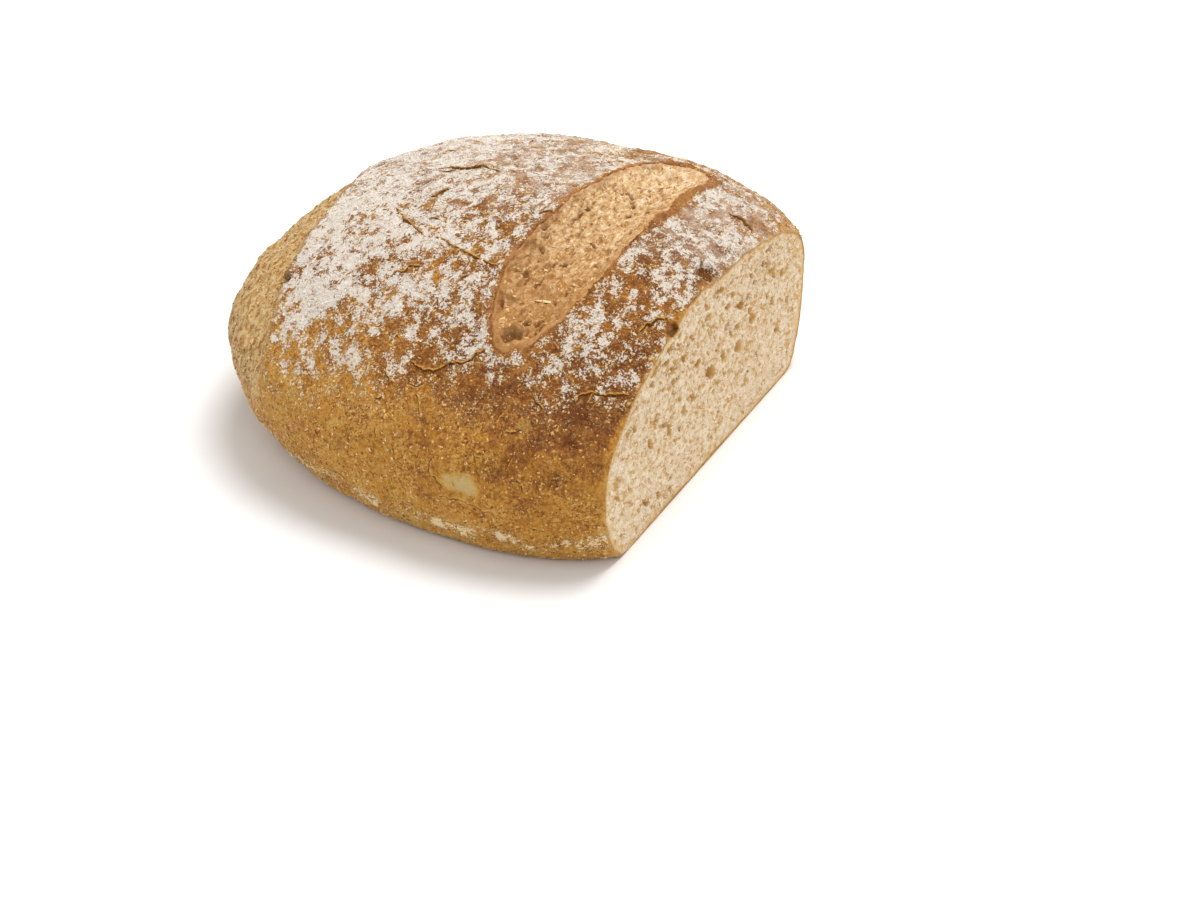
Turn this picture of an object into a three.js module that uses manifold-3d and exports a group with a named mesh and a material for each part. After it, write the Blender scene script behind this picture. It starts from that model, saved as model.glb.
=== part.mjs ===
// Country bread: a round, floured hearth loaf with one end cut off by a straight knife cut.
// Millimetres, +Z up. The origin is the middle of the loaf's outline, level with its flat underside.
// The knife cut is the flat face towards +X, and the opened score on the crown runs along Y.
import * as THREE from 'three';
import { mergeVertices } from 'three/addons/utils/BufferGeometryUtils.js';
import Module from 'manifold-3d';

const wasm = await Module();
wasm.setup();

const { degToRad, lerp, smoothstep } = THREE.MathUtils;

// Plan of the whole loaf: four reaches from the hub, joined by rounded quarters.
const KNIFE_X = 104.75;
const HUB = { x: 32.25, y: -8.95 };
const REACH = { right: 107, back: 130, left: 137, front: 112 };
const PLAN_POWER = 2.47;
const PLAN_SKEW = -0.04;

// Upright profile, given for each of the four sides.
const HEIGHT = 98.5;
const CROWN_LEAN = { x: -5.5, y: 6.5 };
const LEAN_START = 44;
const WAIST = { right: 42, back: 52, left: 44, front: 38.5 };
const TUCK = { right: 14, back: 9, left: 42, front: 15 };
const WALL_POWER = { right: 1.84, back: 2.07, left: 1.7, front: 1.44 };
const CROWN_POWER = { right: 2.1, back: 2, left: 2.1, front: 2 };

// The crust is drawn as upright rings from the far end to the knife cut, by rays from a core line.
const CORE = { y: HUB.y, z: 44 };
const RINGS = 52;
const TIP_CROWDING = 0.12;
const RAYS = 76;
const BASE_RAYS = 12;
const FAR_BASE_ANGLE = degToRad(60);
const BASE_BLEND = { from: HUB.x - REACH.left + TUCK.left, to: 0 };
const LONGEST_RAY = 180;
const HALVINGS = 40;
const CORE_CALM = 25;
const BASE_CALM = 16;
const LEVEL = 1e-3;

// The score: a broad opened groove with a raised lip on each long side and a pit at its front end.
const SCORE = { x: 51, y: -5, halfWidth: 18, halfLength: 79, cornerPower: 4, depth: 5, floorPower: 3 };
const SCORE_LIP = { left: 2, right: 1.4, width: 6 };
const SCORE_PIT = { x: 48, y: -73, radius: 6.5, depth: 3 };

// The burst seam near the far end: the floured crust ends in a lip and the band beyond it lies lower.
const SEAM = { x: -72.5, slope: -0.19, drop: 3, band: 34, lip: 1.6, lipWidth: 5, fadeLow: 42, fadeHigh: 60 };

// Low humps and hollows of the crust: where each is centred, how wide it spreads and how high it is.
// Swells are the crust's lesser unevenness all over, by wave length and height.
const HUMPS = [
  { x: 105, y: -12, z: 84, spread: 24, height: 2.6 },
  { x: 105, y: -75, z: 66, spread: 26, height: -1.6 },
  { x: -60, y: 78, z: 74, spread: 35, height: 1.3 },
  { x: 0, y: 70, z: 88, spread: 40, height: -1.1 },
  { x: -88, y: -55, z: 40, spread: 35, height: 0.9 },
  { x: 95, y: 76, z: 66, spread: 24, height: 1.6 },
];
const SWELLS = [{ length: 64, height: 0.7 }, { length: 39, height: 0.4 }];

// Crust flakes that lift beside the cracks: place on the crown, turn in plan in degrees, length and width.
const FLAKES = [
  { x: -27, y: -20, turn: -60, length: 24, width: 13 },
  { x: -3, y: -37, turn: -12, length: 26, width: 12 },
  { x: -10, y: 24, turn: 5, length: 26, width: 14 },
  { x: 86, y: 30, turn: -75, length: 20, width: 10 },
  { x: 84, y: -42, turn: 40, length: 20, width: 10 },
  { x: 18, y: -92, turn: -10, length: 26, width: 12 },
];
const FLAKE_THICKNESS = 0.9;
const FLAKE_TILT = degToRad(7);

// Torn notches in the crust: two at the edge of the knife cut and one under the seam's lip.
const NOTCHES = [
  { x: 97.5, y: -3, radius: 3.4 },
  { x: 101, y: -47, radius: 3 },
  { x: -62, y: -70, radius: 3.4 },
];
const NOTCH_STRETCH = 1.7;

// Gas cells that the knife opened: the large ones by place, the small ones by a seeded draw.
const LARGE_CELLS = [
  { y: 36, z: 45, radius: 3 },
  { y: 22, z: 39, radius: 3.2 },
  { y: -6, z: 41, radius: 4.2 },
  { y: 24, z: 58, radius: 2.8 },
  { y: 68, z: 52, radius: 2.6 },
];
const SMALL_CELLS = { count: 32, smallest: 1.1, largest: 2.4, seed: 20417 };
const CELL_GAP = 2.5;
const CELL_SQUASH = 0.75;
const CELL_CENTRE = 0.3;
const CELL_SIDES = 9;
const CELL_ROWS = 4;

const CRUST = new THREE.MeshStandardMaterial({ color: '#b58350', roughness: 0.9, metalness: 0 });

// Blend of the four side values for a plan direction given by its cosine and sine.
function sideValue(sides, cos, sin) {
  const along = cos > 0 ? sides.right : sides.left;
  const across = sin > 0 ? sides.back : sides.front;
  return along * cos * cos + across * sin * sin;
}

// Reach of the waist from the hub in a plan direction.
function waistReach(cos, sin) {
  const along = Math.abs(cos) / (cos > 0 ? REACH.right : REACH.left);
  const across = Math.abs(sin) / (sin > 0 ? REACH.back : REACH.front);
  const rounded = (along ** PLAN_POWER + across ** PLAN_POWER) ** (-1 / PLAN_POWER);
  return rounded * (1 + 2 * PLAN_SKEW * cos * sin);
}

// Reach of the smooth crust at a height: tucked in under the waist, domed above it.
function crustReach(cos, sin, z) {
  const reach = waistReach(cos, sin);
  const waist = sideValue(WAIST, cos, sin);
  if (z < waist) {
    const drop = (waist - z) / waist;
    return reach - sideValue(TUCK, cos, sin) * (1 - Math.sqrt(1 - drop * drop));
  }
  const rise = (z - waist) / (HEIGHT - waist);
  const dome = 1 - rise ** sideValue(WALL_POWER, cos, sin);
  return reach * dome ** (1 / sideValue(CROWN_POWER, cos, sin));
}

function isInside(point) {
  if (point.z < 0 || point.z >= HEIGHT) return false;
  const lean = (Math.max(0, point.z - LEAN_START) / (HEIGHT - LEAN_START)) ** 2;
  const dx = point.x - HUB.x - lean * CROWN_LEAN.x;
  const dy = point.y - HUB.y - lean * CROWN_LEAN.y;
  const distance = Math.hypot(dx, dy);
  return distance === 0 || distance < crustReach(dx / distance, dy / distance, point.z);
}

// Length of a ray from a point inside the loaf to the smooth crust, by halving.
function rayLength(start, direction) {
  let near = 0;
  let far = LONGEST_RAY;
  for (let i = 0; i < HALVINGS; i++) {
    const middle = (near + far) / 2;
    if (isInside(start.clone().addScaledVector(direction, middle))) near = middle;
    else far = middle;
  }
  return near;
}

function bell(distance, width) {
  return Math.exp(-((distance / width) ** 2));
}

// Height of the opened score over the smooth crust: a sunk floor between raised lips, and the pit.
function scoreRelief({ x, y }) {
  const across = (x - SCORE.x) / SCORE.halfWidth;
  const along = (y - SCORE.y) / SCORE.halfLength;
  const power = SCORE.cornerPower;
  const edge = (Math.abs(across) ** power + Math.abs(along) ** power) ** (1 / power);
  const floor = -SCORE.depth * (1 - Math.min(1, edge) ** SCORE.floorPower);
  const lipHeight = lerp(SCORE_LIP.left, SCORE_LIP.right, smoothstep(across, -1, 1));
  const lip = lipHeight * bell((edge - 1) * SCORE.halfWidth, SCORE_LIP.width);
  const pit = SCORE_PIT.depth * bell(Math.hypot(x - SCORE_PIT.x, y - SCORE_PIT.y), SCORE_PIT.radius);
  return floor + lip - pit;
}

// Height of the burst seam: a lip along a slanting line, and the lower band on its far side.
function seamRelief({ x, y, z }) {
  const beyond = SEAM.x + SEAM.slope * y - x;
  const lip = SEAM.lip * bell(beyond, SEAM.lipWidth);
  const sunk = smoothstep(beyond, 0, SEAM.lipWidth);
  const recovered = smoothstep(beyond, SEAM.lipWidth, SEAM.band);
  return smoothstep(z, SEAM.fadeLow, SEAM.fadeHigh) * (lip - SEAM.drop * sunk * (1 - recovered));
}

// All relief of the crust at a point of the smooth loaf, fading out towards the flat base.
function relief(point) {
  let height = seamRelief(point);
  if (point.z > CORE.z) height += scoreRelief(point);
  for (const hump of HUMPS) {
    height += hump.height * bell(point.distanceTo(hump), hump.spread);
  }
  for (const swell of SWELLS) {
    const turn = (2 * Math.PI) / swell.length;
    height += swell.height * Math.sin(turn * point.x) * Math.sin(turn * (point.y + point.z));
  }
  return height * smoothstep(point.z, 0, BASE_CALM);
}

// A point of the crust on the upright ring at x, at an angle round the core line.
function crustPoint(x, angle) {
  const core = new THREE.Vector3(x, CORE.y, CORE.z);
  const direction = new THREE.Vector3(0, Math.cos(angle), Math.sin(angle));
  const length = rayLength(core, direction);
  const point = core.addScaledVector(direction, length);
  point.addScaledVector(direction, relief(point) * smoothstep(length, 0, CORE_CALM));
  if (point.z < LEVEL) point.z = 0;
  return point;
}

// A point of the crown straight above a place in plan.
function crownPoint(x, y) {
  const core = new THREE.Vector3(x, y, CORE.z);
  const up = new THREE.Vector3(0, 0, 1);
  const point = core.addScaledVector(up, rayLength(core, up));
  return point.addScaledVector(up, relief(point));
}

// Angle from straight down to the edge of the flat base, on the front (-1) or the back (1) of a ring.
// Rings of the far end don't reach the base and share one angle, which blends into the true ones.
function baseAngle(x, side) {
  const reach = rayLength(new THREE.Vector3(x, CORE.y, 0), new THREE.Vector3(0, side, 0));
  const blend = smoothstep(x, BASE_BLEND.from, BASE_BLEND.to);
  return lerp(FAR_BASE_ANGLE, Math.atan2(reach, CORE.z), blend);
}

// Angle of a ray by its share of the way round a ring: the flat base gets few rays, the crust the rest.
function rayAngle(x, share) {
  const baseShare = BASE_RAYS / RAYS;
  const backEdge = baseAngle(x, 1) - Math.PI / 2;
  const frontEdge = (3 * Math.PI) / 2 - baseAngle(x, -1);
  if (share <= 1 - baseShare) return lerp(backEdge, frontEdge, share / (1 - baseShare));
  return lerp(backEdge + 2 * Math.PI, frontEdge, (1 - share) / baseShare);
}

// A ball's net laid over the loaf: its first row is the far tip, its last one the middle of the knife cut,
// and the rings between crowd together at the rounded tip.
function loafBody() {
  const hub = new THREE.Vector3(HUB.x, CORE.y, CORE.z);
  const tipX = HUB.x - rayLength(hub, new THREE.Vector3(-1, 0, 0));
  const net = new THREE.SphereGeometry(1, RAYS, RINGS);
  const { position, uv } = net.attributes;
  for (let i = 0; i < position.count; i++) {
    const share = Math.min(1, ((1 - uv.getY(i)) * RINGS) / (RINGS - 1));
    const x = lerp(tipX, KNIFE_X, (share ** 2 * (1 + TIP_CROWDING)) / (share + TIP_CROWDING));
    const isPole = uv.getY(i) === 0 || uv.getY(i) === 1;
    const point = isPole ? new THREE.Vector3(x, CORE.y, CORE.z) : crustPoint(x, rayAngle(x, 1 - uv.getX(i)));
    position.setXYZ(i, point.x, point.y, point.z);
  }
  return net;
}

// A thin lens of crust, half sunk in the crown and tilted so that one long edge stands proud.
function flakeBody({ x, y, turn, length, width }) {
  const east = crownPoint(x + 1, y).sub(crownPoint(x - 1, y));
  const north = crownPoint(x, y + 1).sub(crownPoint(x, y - 1));
  const normal = east.clone().cross(north).normalize();
  const side = normal.clone().cross(east).normalize();
  const upright = new THREE.Matrix4().makeBasis(east.normalize(), side, normal);
  return new THREE.SphereGeometry(1, 10, 4)
    .rotateX(Math.PI / 2)
    .scale(length / 2, width / 2, FLAKE_THICKNESS)
    .rotateX(FLAKE_TILT)
    .rotateZ(degToRad(turn))
    .applyMatrix4(upright)
    .translate(...crownPoint(x, y));
}

function notchBody({ x, y, radius }) {
  return new THREE.IcosahedronGeometry(radius, 1)
    .scale(1, NOTCH_STRETCH, 1)
    .translate(...crownPoint(x, y));
}

// A gas cell in the knife cut, squashed a little and set so that it opens through the cut.
function cellBody({ y, z, radius }) {
  return new THREE.SphereGeometry(radius, CELL_SIDES, CELL_ROWS)
    .rotateZ(Math.PI / 2)
    .scale(1, 1, CELL_SQUASH)
    .translate(KNIFE_X + CELL_CENTRE * radius, y, z);
}

// Repeatable draws between 0 and 1 by a multiplying generator.
function seededDraw(seed) {
  const multiplier = 16807;
  const modulus = 2147483647;
  let state = seed;
  return () => {
    state = (state * multiplier) % modulus;
    return state / modulus;
  };
}

// The large cells and as many small ones as asked for, clear of the crust and of each other.
function gasCells() {
  const draw = seededDraw(SMALL_CELLS.seed);
  const cells = [...LARGE_CELLS];
  while (cells.length < LARGE_CELLS.length + SMALL_CELLS.count) {
    const radius = lerp(SMALL_CELLS.smallest, SMALL_CELLS.largest, draw() ** 2);
    const angle = draw() * 2 * Math.PI;
    const direction = new THREE.Vector3(0, Math.cos(angle), Math.sin(angle));
    const core = new THREE.Vector3(KNIFE_X, CORE.y, CORE.z);
    const room = rayLength(core, direction) - radius - 2 * CELL_GAP;
    const { y, z } = core.addScaledVector(direction, room * Math.sqrt(draw()));
    const clear = cells.every((cell) => Math.hypot(cell.y - y, cell.z - z) > cell.radius + radius + CELL_GAP);
    if (clear) cells.push({ y, z, radius });
  }
  return cells;
}

// A closed geometry as a solid that can be joined and cut.
function solidOf(geometry) {
  geometry.deleteAttribute('normal');
  geometry.deleteAttribute('uv');
  const welded = mergeVertices(geometry);
  const vertProperties = new Float32Array(welded.attributes.position.array);
  const triVerts = new Uint32Array(welded.index.array);
  return new wasm.Manifold(new wasm.Mesh({ numProp: 3, vertProperties, triVerts }));
}

function geometryOf(solid) {
  const { vertProperties, triVerts } = solid.getMesh();
  const geometry = new THREE.BufferGeometry();
  geometry.setAttribute('position', new THREE.BufferAttribute(vertProperties, 3));
  geometry.setIndex(new THREE.BufferAttribute(triVerts, 1));
  geometry.computeVertexNormals();
  return geometry;
}

function cutLoaf() {
  let solid = solidOf(loafBody());
  for (const flake of FLAKES) solid = solid.add(solidOf(flakeBody(flake)));
  for (const notch of NOTCHES) solid = solid.subtract(solidOf(notchBody(notch)));
  for (const cell of gasCells()) solid = solid.subtract(solidOf(cellBody(cell)));
  return geometryOf(solid);
}

const loaf = new THREE.Mesh(cutLoaf(), CRUST);
loaf.name = 'loaf';

const bread = new THREE.Group();
bread.add(loaf);

export default bread;
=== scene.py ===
# %% [markdown]
# # A floured country loaf
#
# This lesson dresses one round hearth loaf, cut open by a knife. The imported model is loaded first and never
# moves: it fixes the loaf's place and size. Everything after that is skin, crumb, flour and light, laid where
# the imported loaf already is. Sizes below are millimetres, because bread is easier to think about that way,
# and they become metres only when a mesh is made.

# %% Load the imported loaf
import math

import bpy
import numpy as np
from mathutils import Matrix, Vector
from mathutils.bvhtree import BVHTree
from mathutils.kdtree import KDTree


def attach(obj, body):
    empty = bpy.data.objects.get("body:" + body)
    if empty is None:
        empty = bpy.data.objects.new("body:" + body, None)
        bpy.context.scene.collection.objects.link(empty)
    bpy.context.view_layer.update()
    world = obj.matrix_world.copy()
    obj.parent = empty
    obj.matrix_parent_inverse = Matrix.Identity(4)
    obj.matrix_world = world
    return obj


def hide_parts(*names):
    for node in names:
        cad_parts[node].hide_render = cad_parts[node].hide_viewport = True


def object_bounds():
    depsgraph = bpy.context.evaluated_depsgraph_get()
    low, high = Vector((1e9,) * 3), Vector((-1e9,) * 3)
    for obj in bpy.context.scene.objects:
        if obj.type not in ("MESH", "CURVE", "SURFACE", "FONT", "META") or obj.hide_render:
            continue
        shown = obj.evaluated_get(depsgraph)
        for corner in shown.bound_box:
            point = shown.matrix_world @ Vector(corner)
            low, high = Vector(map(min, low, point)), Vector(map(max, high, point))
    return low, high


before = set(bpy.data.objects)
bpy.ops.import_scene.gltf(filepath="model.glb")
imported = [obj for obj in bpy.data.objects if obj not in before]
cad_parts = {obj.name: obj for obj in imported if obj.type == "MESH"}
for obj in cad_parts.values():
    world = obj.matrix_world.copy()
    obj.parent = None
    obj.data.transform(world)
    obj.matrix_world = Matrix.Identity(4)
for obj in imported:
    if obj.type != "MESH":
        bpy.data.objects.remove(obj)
cad_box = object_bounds()
MM = 0.001
KNIFE_X = cad_box[1].x / MM
TIP_X = cad_box[0].x / MM
print(f"loaf from {TIP_X:.1f} to {KNIFE_X:.1f} mm along X, {cad_box[1].z / MM:.1f} mm high")

# %% [markdown]
# ## The camera
#
# The loaf is seen from the front and a little from its cut side, looking down by about thirty degrees through
# a long lens. A camera could be placed by three coordinates and three angles. Here it is given as a compass
# direction, a height angle and a distance from the point that it looks at, so that each can be tuned alone.

# %% Place the camera
VIEW_AZIMUTH = math.radians(25.85)
VIEW_ELEVATION = math.radians(30.77)
VIEW_DISTANCE = 1316
VIEW_AIM = Vector((90, -80.4, 40))
VIEW_LENS = 99.9

toward_camera = Vector((
    math.sin(VIEW_AZIMUTH) * math.cos(VIEW_ELEVATION),
    -math.cos(VIEW_AZIMUTH) * math.cos(VIEW_ELEVATION),
    math.sin(VIEW_ELEVATION),
))
camera = bpy.data.objects.new("camera", bpy.data.cameras.new("camera"))
camera.data.lens = VIEW_LENS
camera.location = (VIEW_AIM + VIEW_DISTANCE * toward_camera) * MM
camera.rotation_euler = (-toward_camera).to_track_quat("-Z", "Y").to_euler()
bpy.context.scene.collection.objects.link(camera)
bpy.context.scene.camera = camera
print("camera at", [round(value, 3) for value in camera.location])

# %% [markdown]
# ## Meshes from arrays
#
# Every piece of this loaf is an uneven natural surface of many thousand points. Modelling such a surface by
# hand or with stacked modifiers is slow to steer, so the points are worked out as arrays and handed over in
# one go. A piece can also carry named values on its points, such as how much flour lies there, which its
# material reads with an Attribute node.

# %% A mesh from points, faces and point values
def make_piece(name, points, faces, values=None, sharp_angle=None):
    mesh = bpy.data.meshes.new(name)
    mesh.from_pydata((np.asarray(points) * MM).tolist(), [], faces)
    mesh.polygons.foreach_set("use_smooth", [True] * len(mesh.polygons))
    for label, numbers in (values or {}).items():
        layer = mesh.attributes.new(label, "FLOAT", "POINT")
        layer.data.foreach_set("value", np.asarray(numbers, dtype=np.float32))
    if sharp_angle is not None:
        mesh.set_sharp_from_angle(angle=sharp_angle)
    mesh.validate()
    piece = bpy.data.objects.new(name, mesh)
    bpy.context.scene.collection.objects.link(piece)
    triangles = sum(len(face) - 2 for face in faces)
    print(f"{name}: {len(points)} points, {triangles} triangles")
    return piece

# %% [markdown]
# ## The floor and the light
#
# The loaf lies on a plain white surface under soft light. One small lamp would be simpler, but it throws hard
# shadows, and the softest light is a large one: a broad panel overhead and a little behind gives the crown
# its relief, a second one in front and to the right lights the knife cut, and a third, weaker one on the left
# keeps the far end from going dark. A pale world fills the shadows, and the standard view transform keeps
# white flour white.

# %% Floor
FLOOR_HALF = 4.5
FLOOR_DROP = 0.0002
FLOOR_CORNERS = [(-1, -1), (1, -1), (1, 1), (-1, 1)]

floor_points = [(side * FLOOR_HALF, end * FLOOR_HALF, -FLOOR_DROP) for side, end in FLOOR_CORNERS]
floor_mesh = bpy.data.meshes.new("floor")
floor_mesh.from_pydata(floor_points, [], [(0, 1, 2, 3)])
floor = bpy.data.objects.new("floor", floor_mesh)
bpy.context.scene.collection.objects.link(floor)
print("floor", 2 * FLOOR_HALF, "m across")

# %% Lights
WORLD_STRENGTH = 0.53
LIGHTS = {
    "overhead": {"place": (0.15, 0.5, 1.5), "size": 1.1, "power": 24},
    "right": {"place": (0.9, -1.4, 1.1), "size": 1.0, "power": 7.0},
    "left": {"place": (-1.2, -1.1, 0.7), "size": 1.0, "power": 4.0},
}

scene = bpy.context.scene
scene.view_settings.view_transform = "Standard"
scene.world = bpy.data.worlds.new("studio")
scene.world.use_nodes = True
scene.world.node_tree.nodes["Background"].inputs["Color"].default_value = (1, 1, 1, 1)
scene.world.node_tree.nodes["Background"].inputs["Strength"].default_value = WORLD_STRENGTH
for name, setup in LIGHTS.items():
    lamp = bpy.data.objects.new(name, bpy.data.lights.new(name, "AREA"))
    lamp.data.shape = "DISK"
    lamp.data.size = setup["size"]
    lamp.data.energy = setup["power"]
    lamp.location = setup["place"]
    lamp.rotation_euler = (-Vector(setup["place"])).to_track_quat("-Z", "Y").to_euler()
    scene.collection.objects.link(lamp)
print("lights:", ", ".join(LIGHTS))

# %% [markdown]
# ## The loaf's smooth form
#
# A hand-shaped loaf is neither a ball nor a box. In plan it is a rounded figure with four different reaches
# from a hub, and its wall tucks in under a waist and domes over above it. One could sculpt that, but a
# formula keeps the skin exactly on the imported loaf. The functions below say whether a point is inside it.

# %% Plan and profile of the loaf, in the order right, back, left, front
HUB_X, HUB_Y = 32.25, -8.95
REACH = (107, 130, 137, 112)
PLAN_POWER = 2.47
PLAN_SKEW = -0.04
HEIGHT = 98.5
LEAN_X, LEAN_Y, LEAN_START = -5.5, 6.5, 44
WAIST = (42, 52, 44, 38.5)
TUCK = (14, 9, 42, 15)
WALL_POWER = (1.84, 2.07, 1.7, 1.44)
CROWN_POWER = (2.1, 2, 2.1, 2)
TINY = 1e-9


def by_side(sides, cos, sin):
    right, back, left, front = sides
    return np.where(cos > 0, right, left) * cos**2 + np.where(sin > 0, back, front) * sin**2


def waist_reach(cos, sin):
    right, back, left, front = REACH
    along = np.abs(cos) / np.where(cos > 0, right, left)
    across = np.abs(sin) / np.where(sin > 0, back, front)
    return (along**PLAN_POWER + across**PLAN_POWER) ** (-1 / PLAN_POWER) * (1 + 2 * PLAN_SKEW * cos * sin)


def crust_reach(cos, sin, z):
    reach = waist_reach(cos, sin)
    waist = by_side(WAIST, cos, sin)
    drop = np.clip((waist - z) / waist, 0, 1)
    rise = np.clip((z - waist) / (HEIGHT - waist), 0, 1)
    tucked = reach - by_side(TUCK, cos, sin) * (1 - np.sqrt(1 - drop**2))
    domed = reach * (1 - rise ** by_side(WALL_POWER, cos, sin)) ** (1 / by_side(CROWN_POWER, cos, sin))
    return np.where(z < waist, tucked, domed)


def is_inside(points):
    x, y, z = np.moveaxis(points, -1, 0)
    lean = (np.maximum(0, z - LEAN_START) / (HEIGHT - LEAN_START)) ** 2
    dx = x - HUB_X - lean * LEAN_X
    dy = y - HUB_Y - lean * LEAN_Y
    distance = np.maximum(np.hypot(dx, dy), TINY)
    return (z >= 0) & (z < HEIGHT) & (distance < crust_reach(dx / distance, dy / distance, z))


print("from the hub to the right, back, left and front:", REACH, "mm")

# %% Length of rays from inside the loaf to its crust
LONGEST_RAY = 180
HALVINGS = 36


def ray_lengths(starts, directions):
    near = np.zeros(starts.shape[:-1])
    far = np.full(starts.shape[:-1], float(LONGEST_RAY))
    for _ in range(HALVINGS):
        middle = (near + far) / 2
        inside = is_inside(starts + directions * middle[..., None])
        near = np.where(inside, middle, near)
        far = np.where(inside, far, middle)
    return near


CORE_Y, CORE_Z = HUB_Y, 44
crown_height = CORE_Z + ray_lengths(np.array([[HUB_X, CORE_Y, CORE_Z]]), np.array([[0.0, 0.0, 1.0]]))[0]
print(f"smooth crown over the hub: {crown_height:.1f} mm")

# %% [markdown]
# ## Small tools for uneven surfaces
#
# Dough, flour and crumb are random at many sizes at once. A smooth random field, made by blending random
# numbers that sit on a grid, gives unevenness of one size, and a few of them on top of each other give the
# natural mix. A noise texture could do the same, but a field worked out here can shape points, choose places
# and tint, all in step. The numbers come from a fixed formula, so each run bakes the same loaf.

# %% Steps, bells and random fields
GRID_MIX = np.array([127.1, 311.7, 74.7])
GRID_SPREAD = 43758.5453
FINER_LAYER = 0.5
TURN = np.array([[0.8, 0.36, -0.48], [-0.6, 0.48, -0.64], [0.0, 0.8, 0.6]])


def step(value, low, high):
    share = np.clip((value - low) / (high - low), 0, 1)
    return share * share * (3 - 2 * share)


def bell(distance, width):
    return np.exp(-((distance / width) ** 2))


def blend(low, high, share):
    return low + (high - low) * share


def grid_draw(corners, seed):
    mixed = np.sin(corners @ GRID_MIX + seed) * GRID_SPREAD
    return 2 * (mixed - np.floor(mixed)) - 1


def bumps(points, size, seed):
    scaled = points / size
    corner = np.floor(scaled)
    inner = scaled - corner
    inner = inner * inner * (3 - 2 * inner)
    total = np.zeros(points.shape[:-1])
    for offset in np.ndindex(2, 2, 2):
        weight = np.prod(np.where(offset, inner, 1 - inner), axis=-1)
        total += weight * grid_draw(corner + offset, seed)
    return total


def rough(points, size, seed, layers=3):
    total = np.zeros(points.shape[:-1])
    for layer in range(layers):
        total += FINER_LAYER**layer * bumps(points, size * FINER_LAYER**layer, seed + layer)
        points = points @ TURN
    return total


print("a step has risen to", step(0.5, 0, 1), "halfway")

# %% [markdown]
# ## The relief that the dough made
#
# Before baking, the baker cut one long score into the crown. In the oven it tore open into a broad, rough
# trough with a rounded lip on each side, and the dough also burst along a slanting seam near the far end.
# Low humps and swells do the rest. These are the loaf's large features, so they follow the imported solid. They
# could be sculpted, but a formula can be asked again later, for flour and browning, how far a place lies from
# the score or the seam.

# %% Outline of the score, seen from above
SCORE_OUTLINE = np.array([
    (41, 61), (38, 40), (36, 20), (35, 0), (34, -30), (33, -46), (36, -62),
    (40, -73), (45, -81), (51, -84), (58, -81), (64, -70), (67, -52), (70, -35),
    (70, -16), (69, 8), (67, 40), (69, 60), (68, 72), (63, 78), (55, 77), (47, 71),
], float)
SCORE_X, SCORE_HALF_WIDTH, SCORE_DEPTH, SCORE_FLOOR = 51, 18, 5, 3
SCORE_CLIFF, SCORE_CLIFF_WIDTH = 1.0, 1.5
LIP_LEFT, LIP_RIGHT, LIP_WIDTH = 2, 1.4, 6
SIDE_BLEND = 12
EDGE_WANDER, EDGE_WANDER_SIZE = 1.2, 7
EDGE_FRAY, EDGE_FRAY_SIZE = 0.6, 2.2
EDGE_SEEDS = (3, 5)
FAR_AWAY = 99


def edge_wander(points, seed):
    wander = EDGE_WANDER * rough(points, EDGE_WANDER_SIZE, seed)
    return wander + EDGE_FRAY * bumps(points, EDGE_FRAY_SIZE, seed)


def score_inside(points):
    """Millimetres inside the torn edge of the score, negative outside it."""
    place = points[..., :2] + np.stack([edge_wander(points, seed) for seed in EDGE_SEEDS], axis=-1)
    nearest = np.full(place.shape[:-1], float(FAR_AWAY))
    within = np.zeros(place.shape[:-1], bool)
    for start, end in zip(SCORE_OUTLINE, np.roll(SCORE_OUTLINE, -1, axis=0)):
        side = end - start
        offset = place - start
        share = np.clip(offset @ side / (side @ side), 0, 1)
        nearest = np.minimum(nearest, np.linalg.norm(offset - share[..., None] * side, axis=-1))
        level = (start[1] > place[..., 1]) != (end[1] > place[..., 1])
        within ^= level & (offset[..., 0] < offset[..., 1] * side[0] / side[1])
    inside = np.where(within, nearest, -nearest)
    return np.where(points[..., 2] > CORE_Z, inside, -FAR_AWAY)


def score_relief(points):
    inside = score_inside(points)
    depth = SCORE_DEPTH * (1 - np.clip(1 - inside / SCORE_HALF_WIDTH, 0, 1) ** SCORE_FLOOR)
    left = step(SCORE_X - points[..., 0], 0, SIDE_BLEND)
    cliff = SCORE_CLIFF * left * step(inside, 0, SCORE_CLIFF_WIDTH)
    return blend(LIP_RIGHT, LIP_LEFT, left) * bell(inside, LIP_WIDTH) - depth - cliff


print(f"score {np.ptp(SCORE_OUTLINE[:, 1]):.0f} mm long and {np.ptp(SCORE_OUTLINE[:, 0]):.0f} mm wide")

# %% Seam near the far end
SEAM_X, SEAM_SLOPE, SEAM_DROP, SEAM_BAND = -72.5, -0.19, 3, 34
SEAM_LIP, SEAM_LIP_WIDTH = 1.6, 5
SEAM_CLIFF, SEAM_CLIFF_WIDTH, SEAM_CLIFF_TOP = 0.9, 1.5, 2
SEAM_WANDER, SEAM_WANDER_SIZE = 1.5, 18
SEAM_FADE = (42, 60)


def beyond_seam(points):
    """How far a point lies beyond the seam's lip, towards the far end."""
    straight = SEAM_X + SEAM_SLOPE * points[..., 1] - points[..., 0]
    return straight + SEAM_WANDER * rough(points, SEAM_WANDER_SIZE, seed=11)


def seam_relief(points):
    beyond = beyond_seam(points)
    sunk = step(beyond, 0, SEAM_LIP_WIDTH) * (1 - step(beyond, SEAM_LIP_WIDTH, SEAM_BAND))
    height = SEAM_LIP * bell(beyond, SEAM_LIP_WIDTH) - SEAM_DROP * sunk
    fall = step(beyond, 0, SEAM_CLIFF_WIDTH)
    height = height - SEAM_CLIFF * fall * (1 - step(beyond, SEAM_CLIFF_TOP, SEAM_BAND))
    return height * step(points[..., 2], *SEAM_FADE)


print("seam crosses the middle at X", SEAM_X, "mm")

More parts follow.
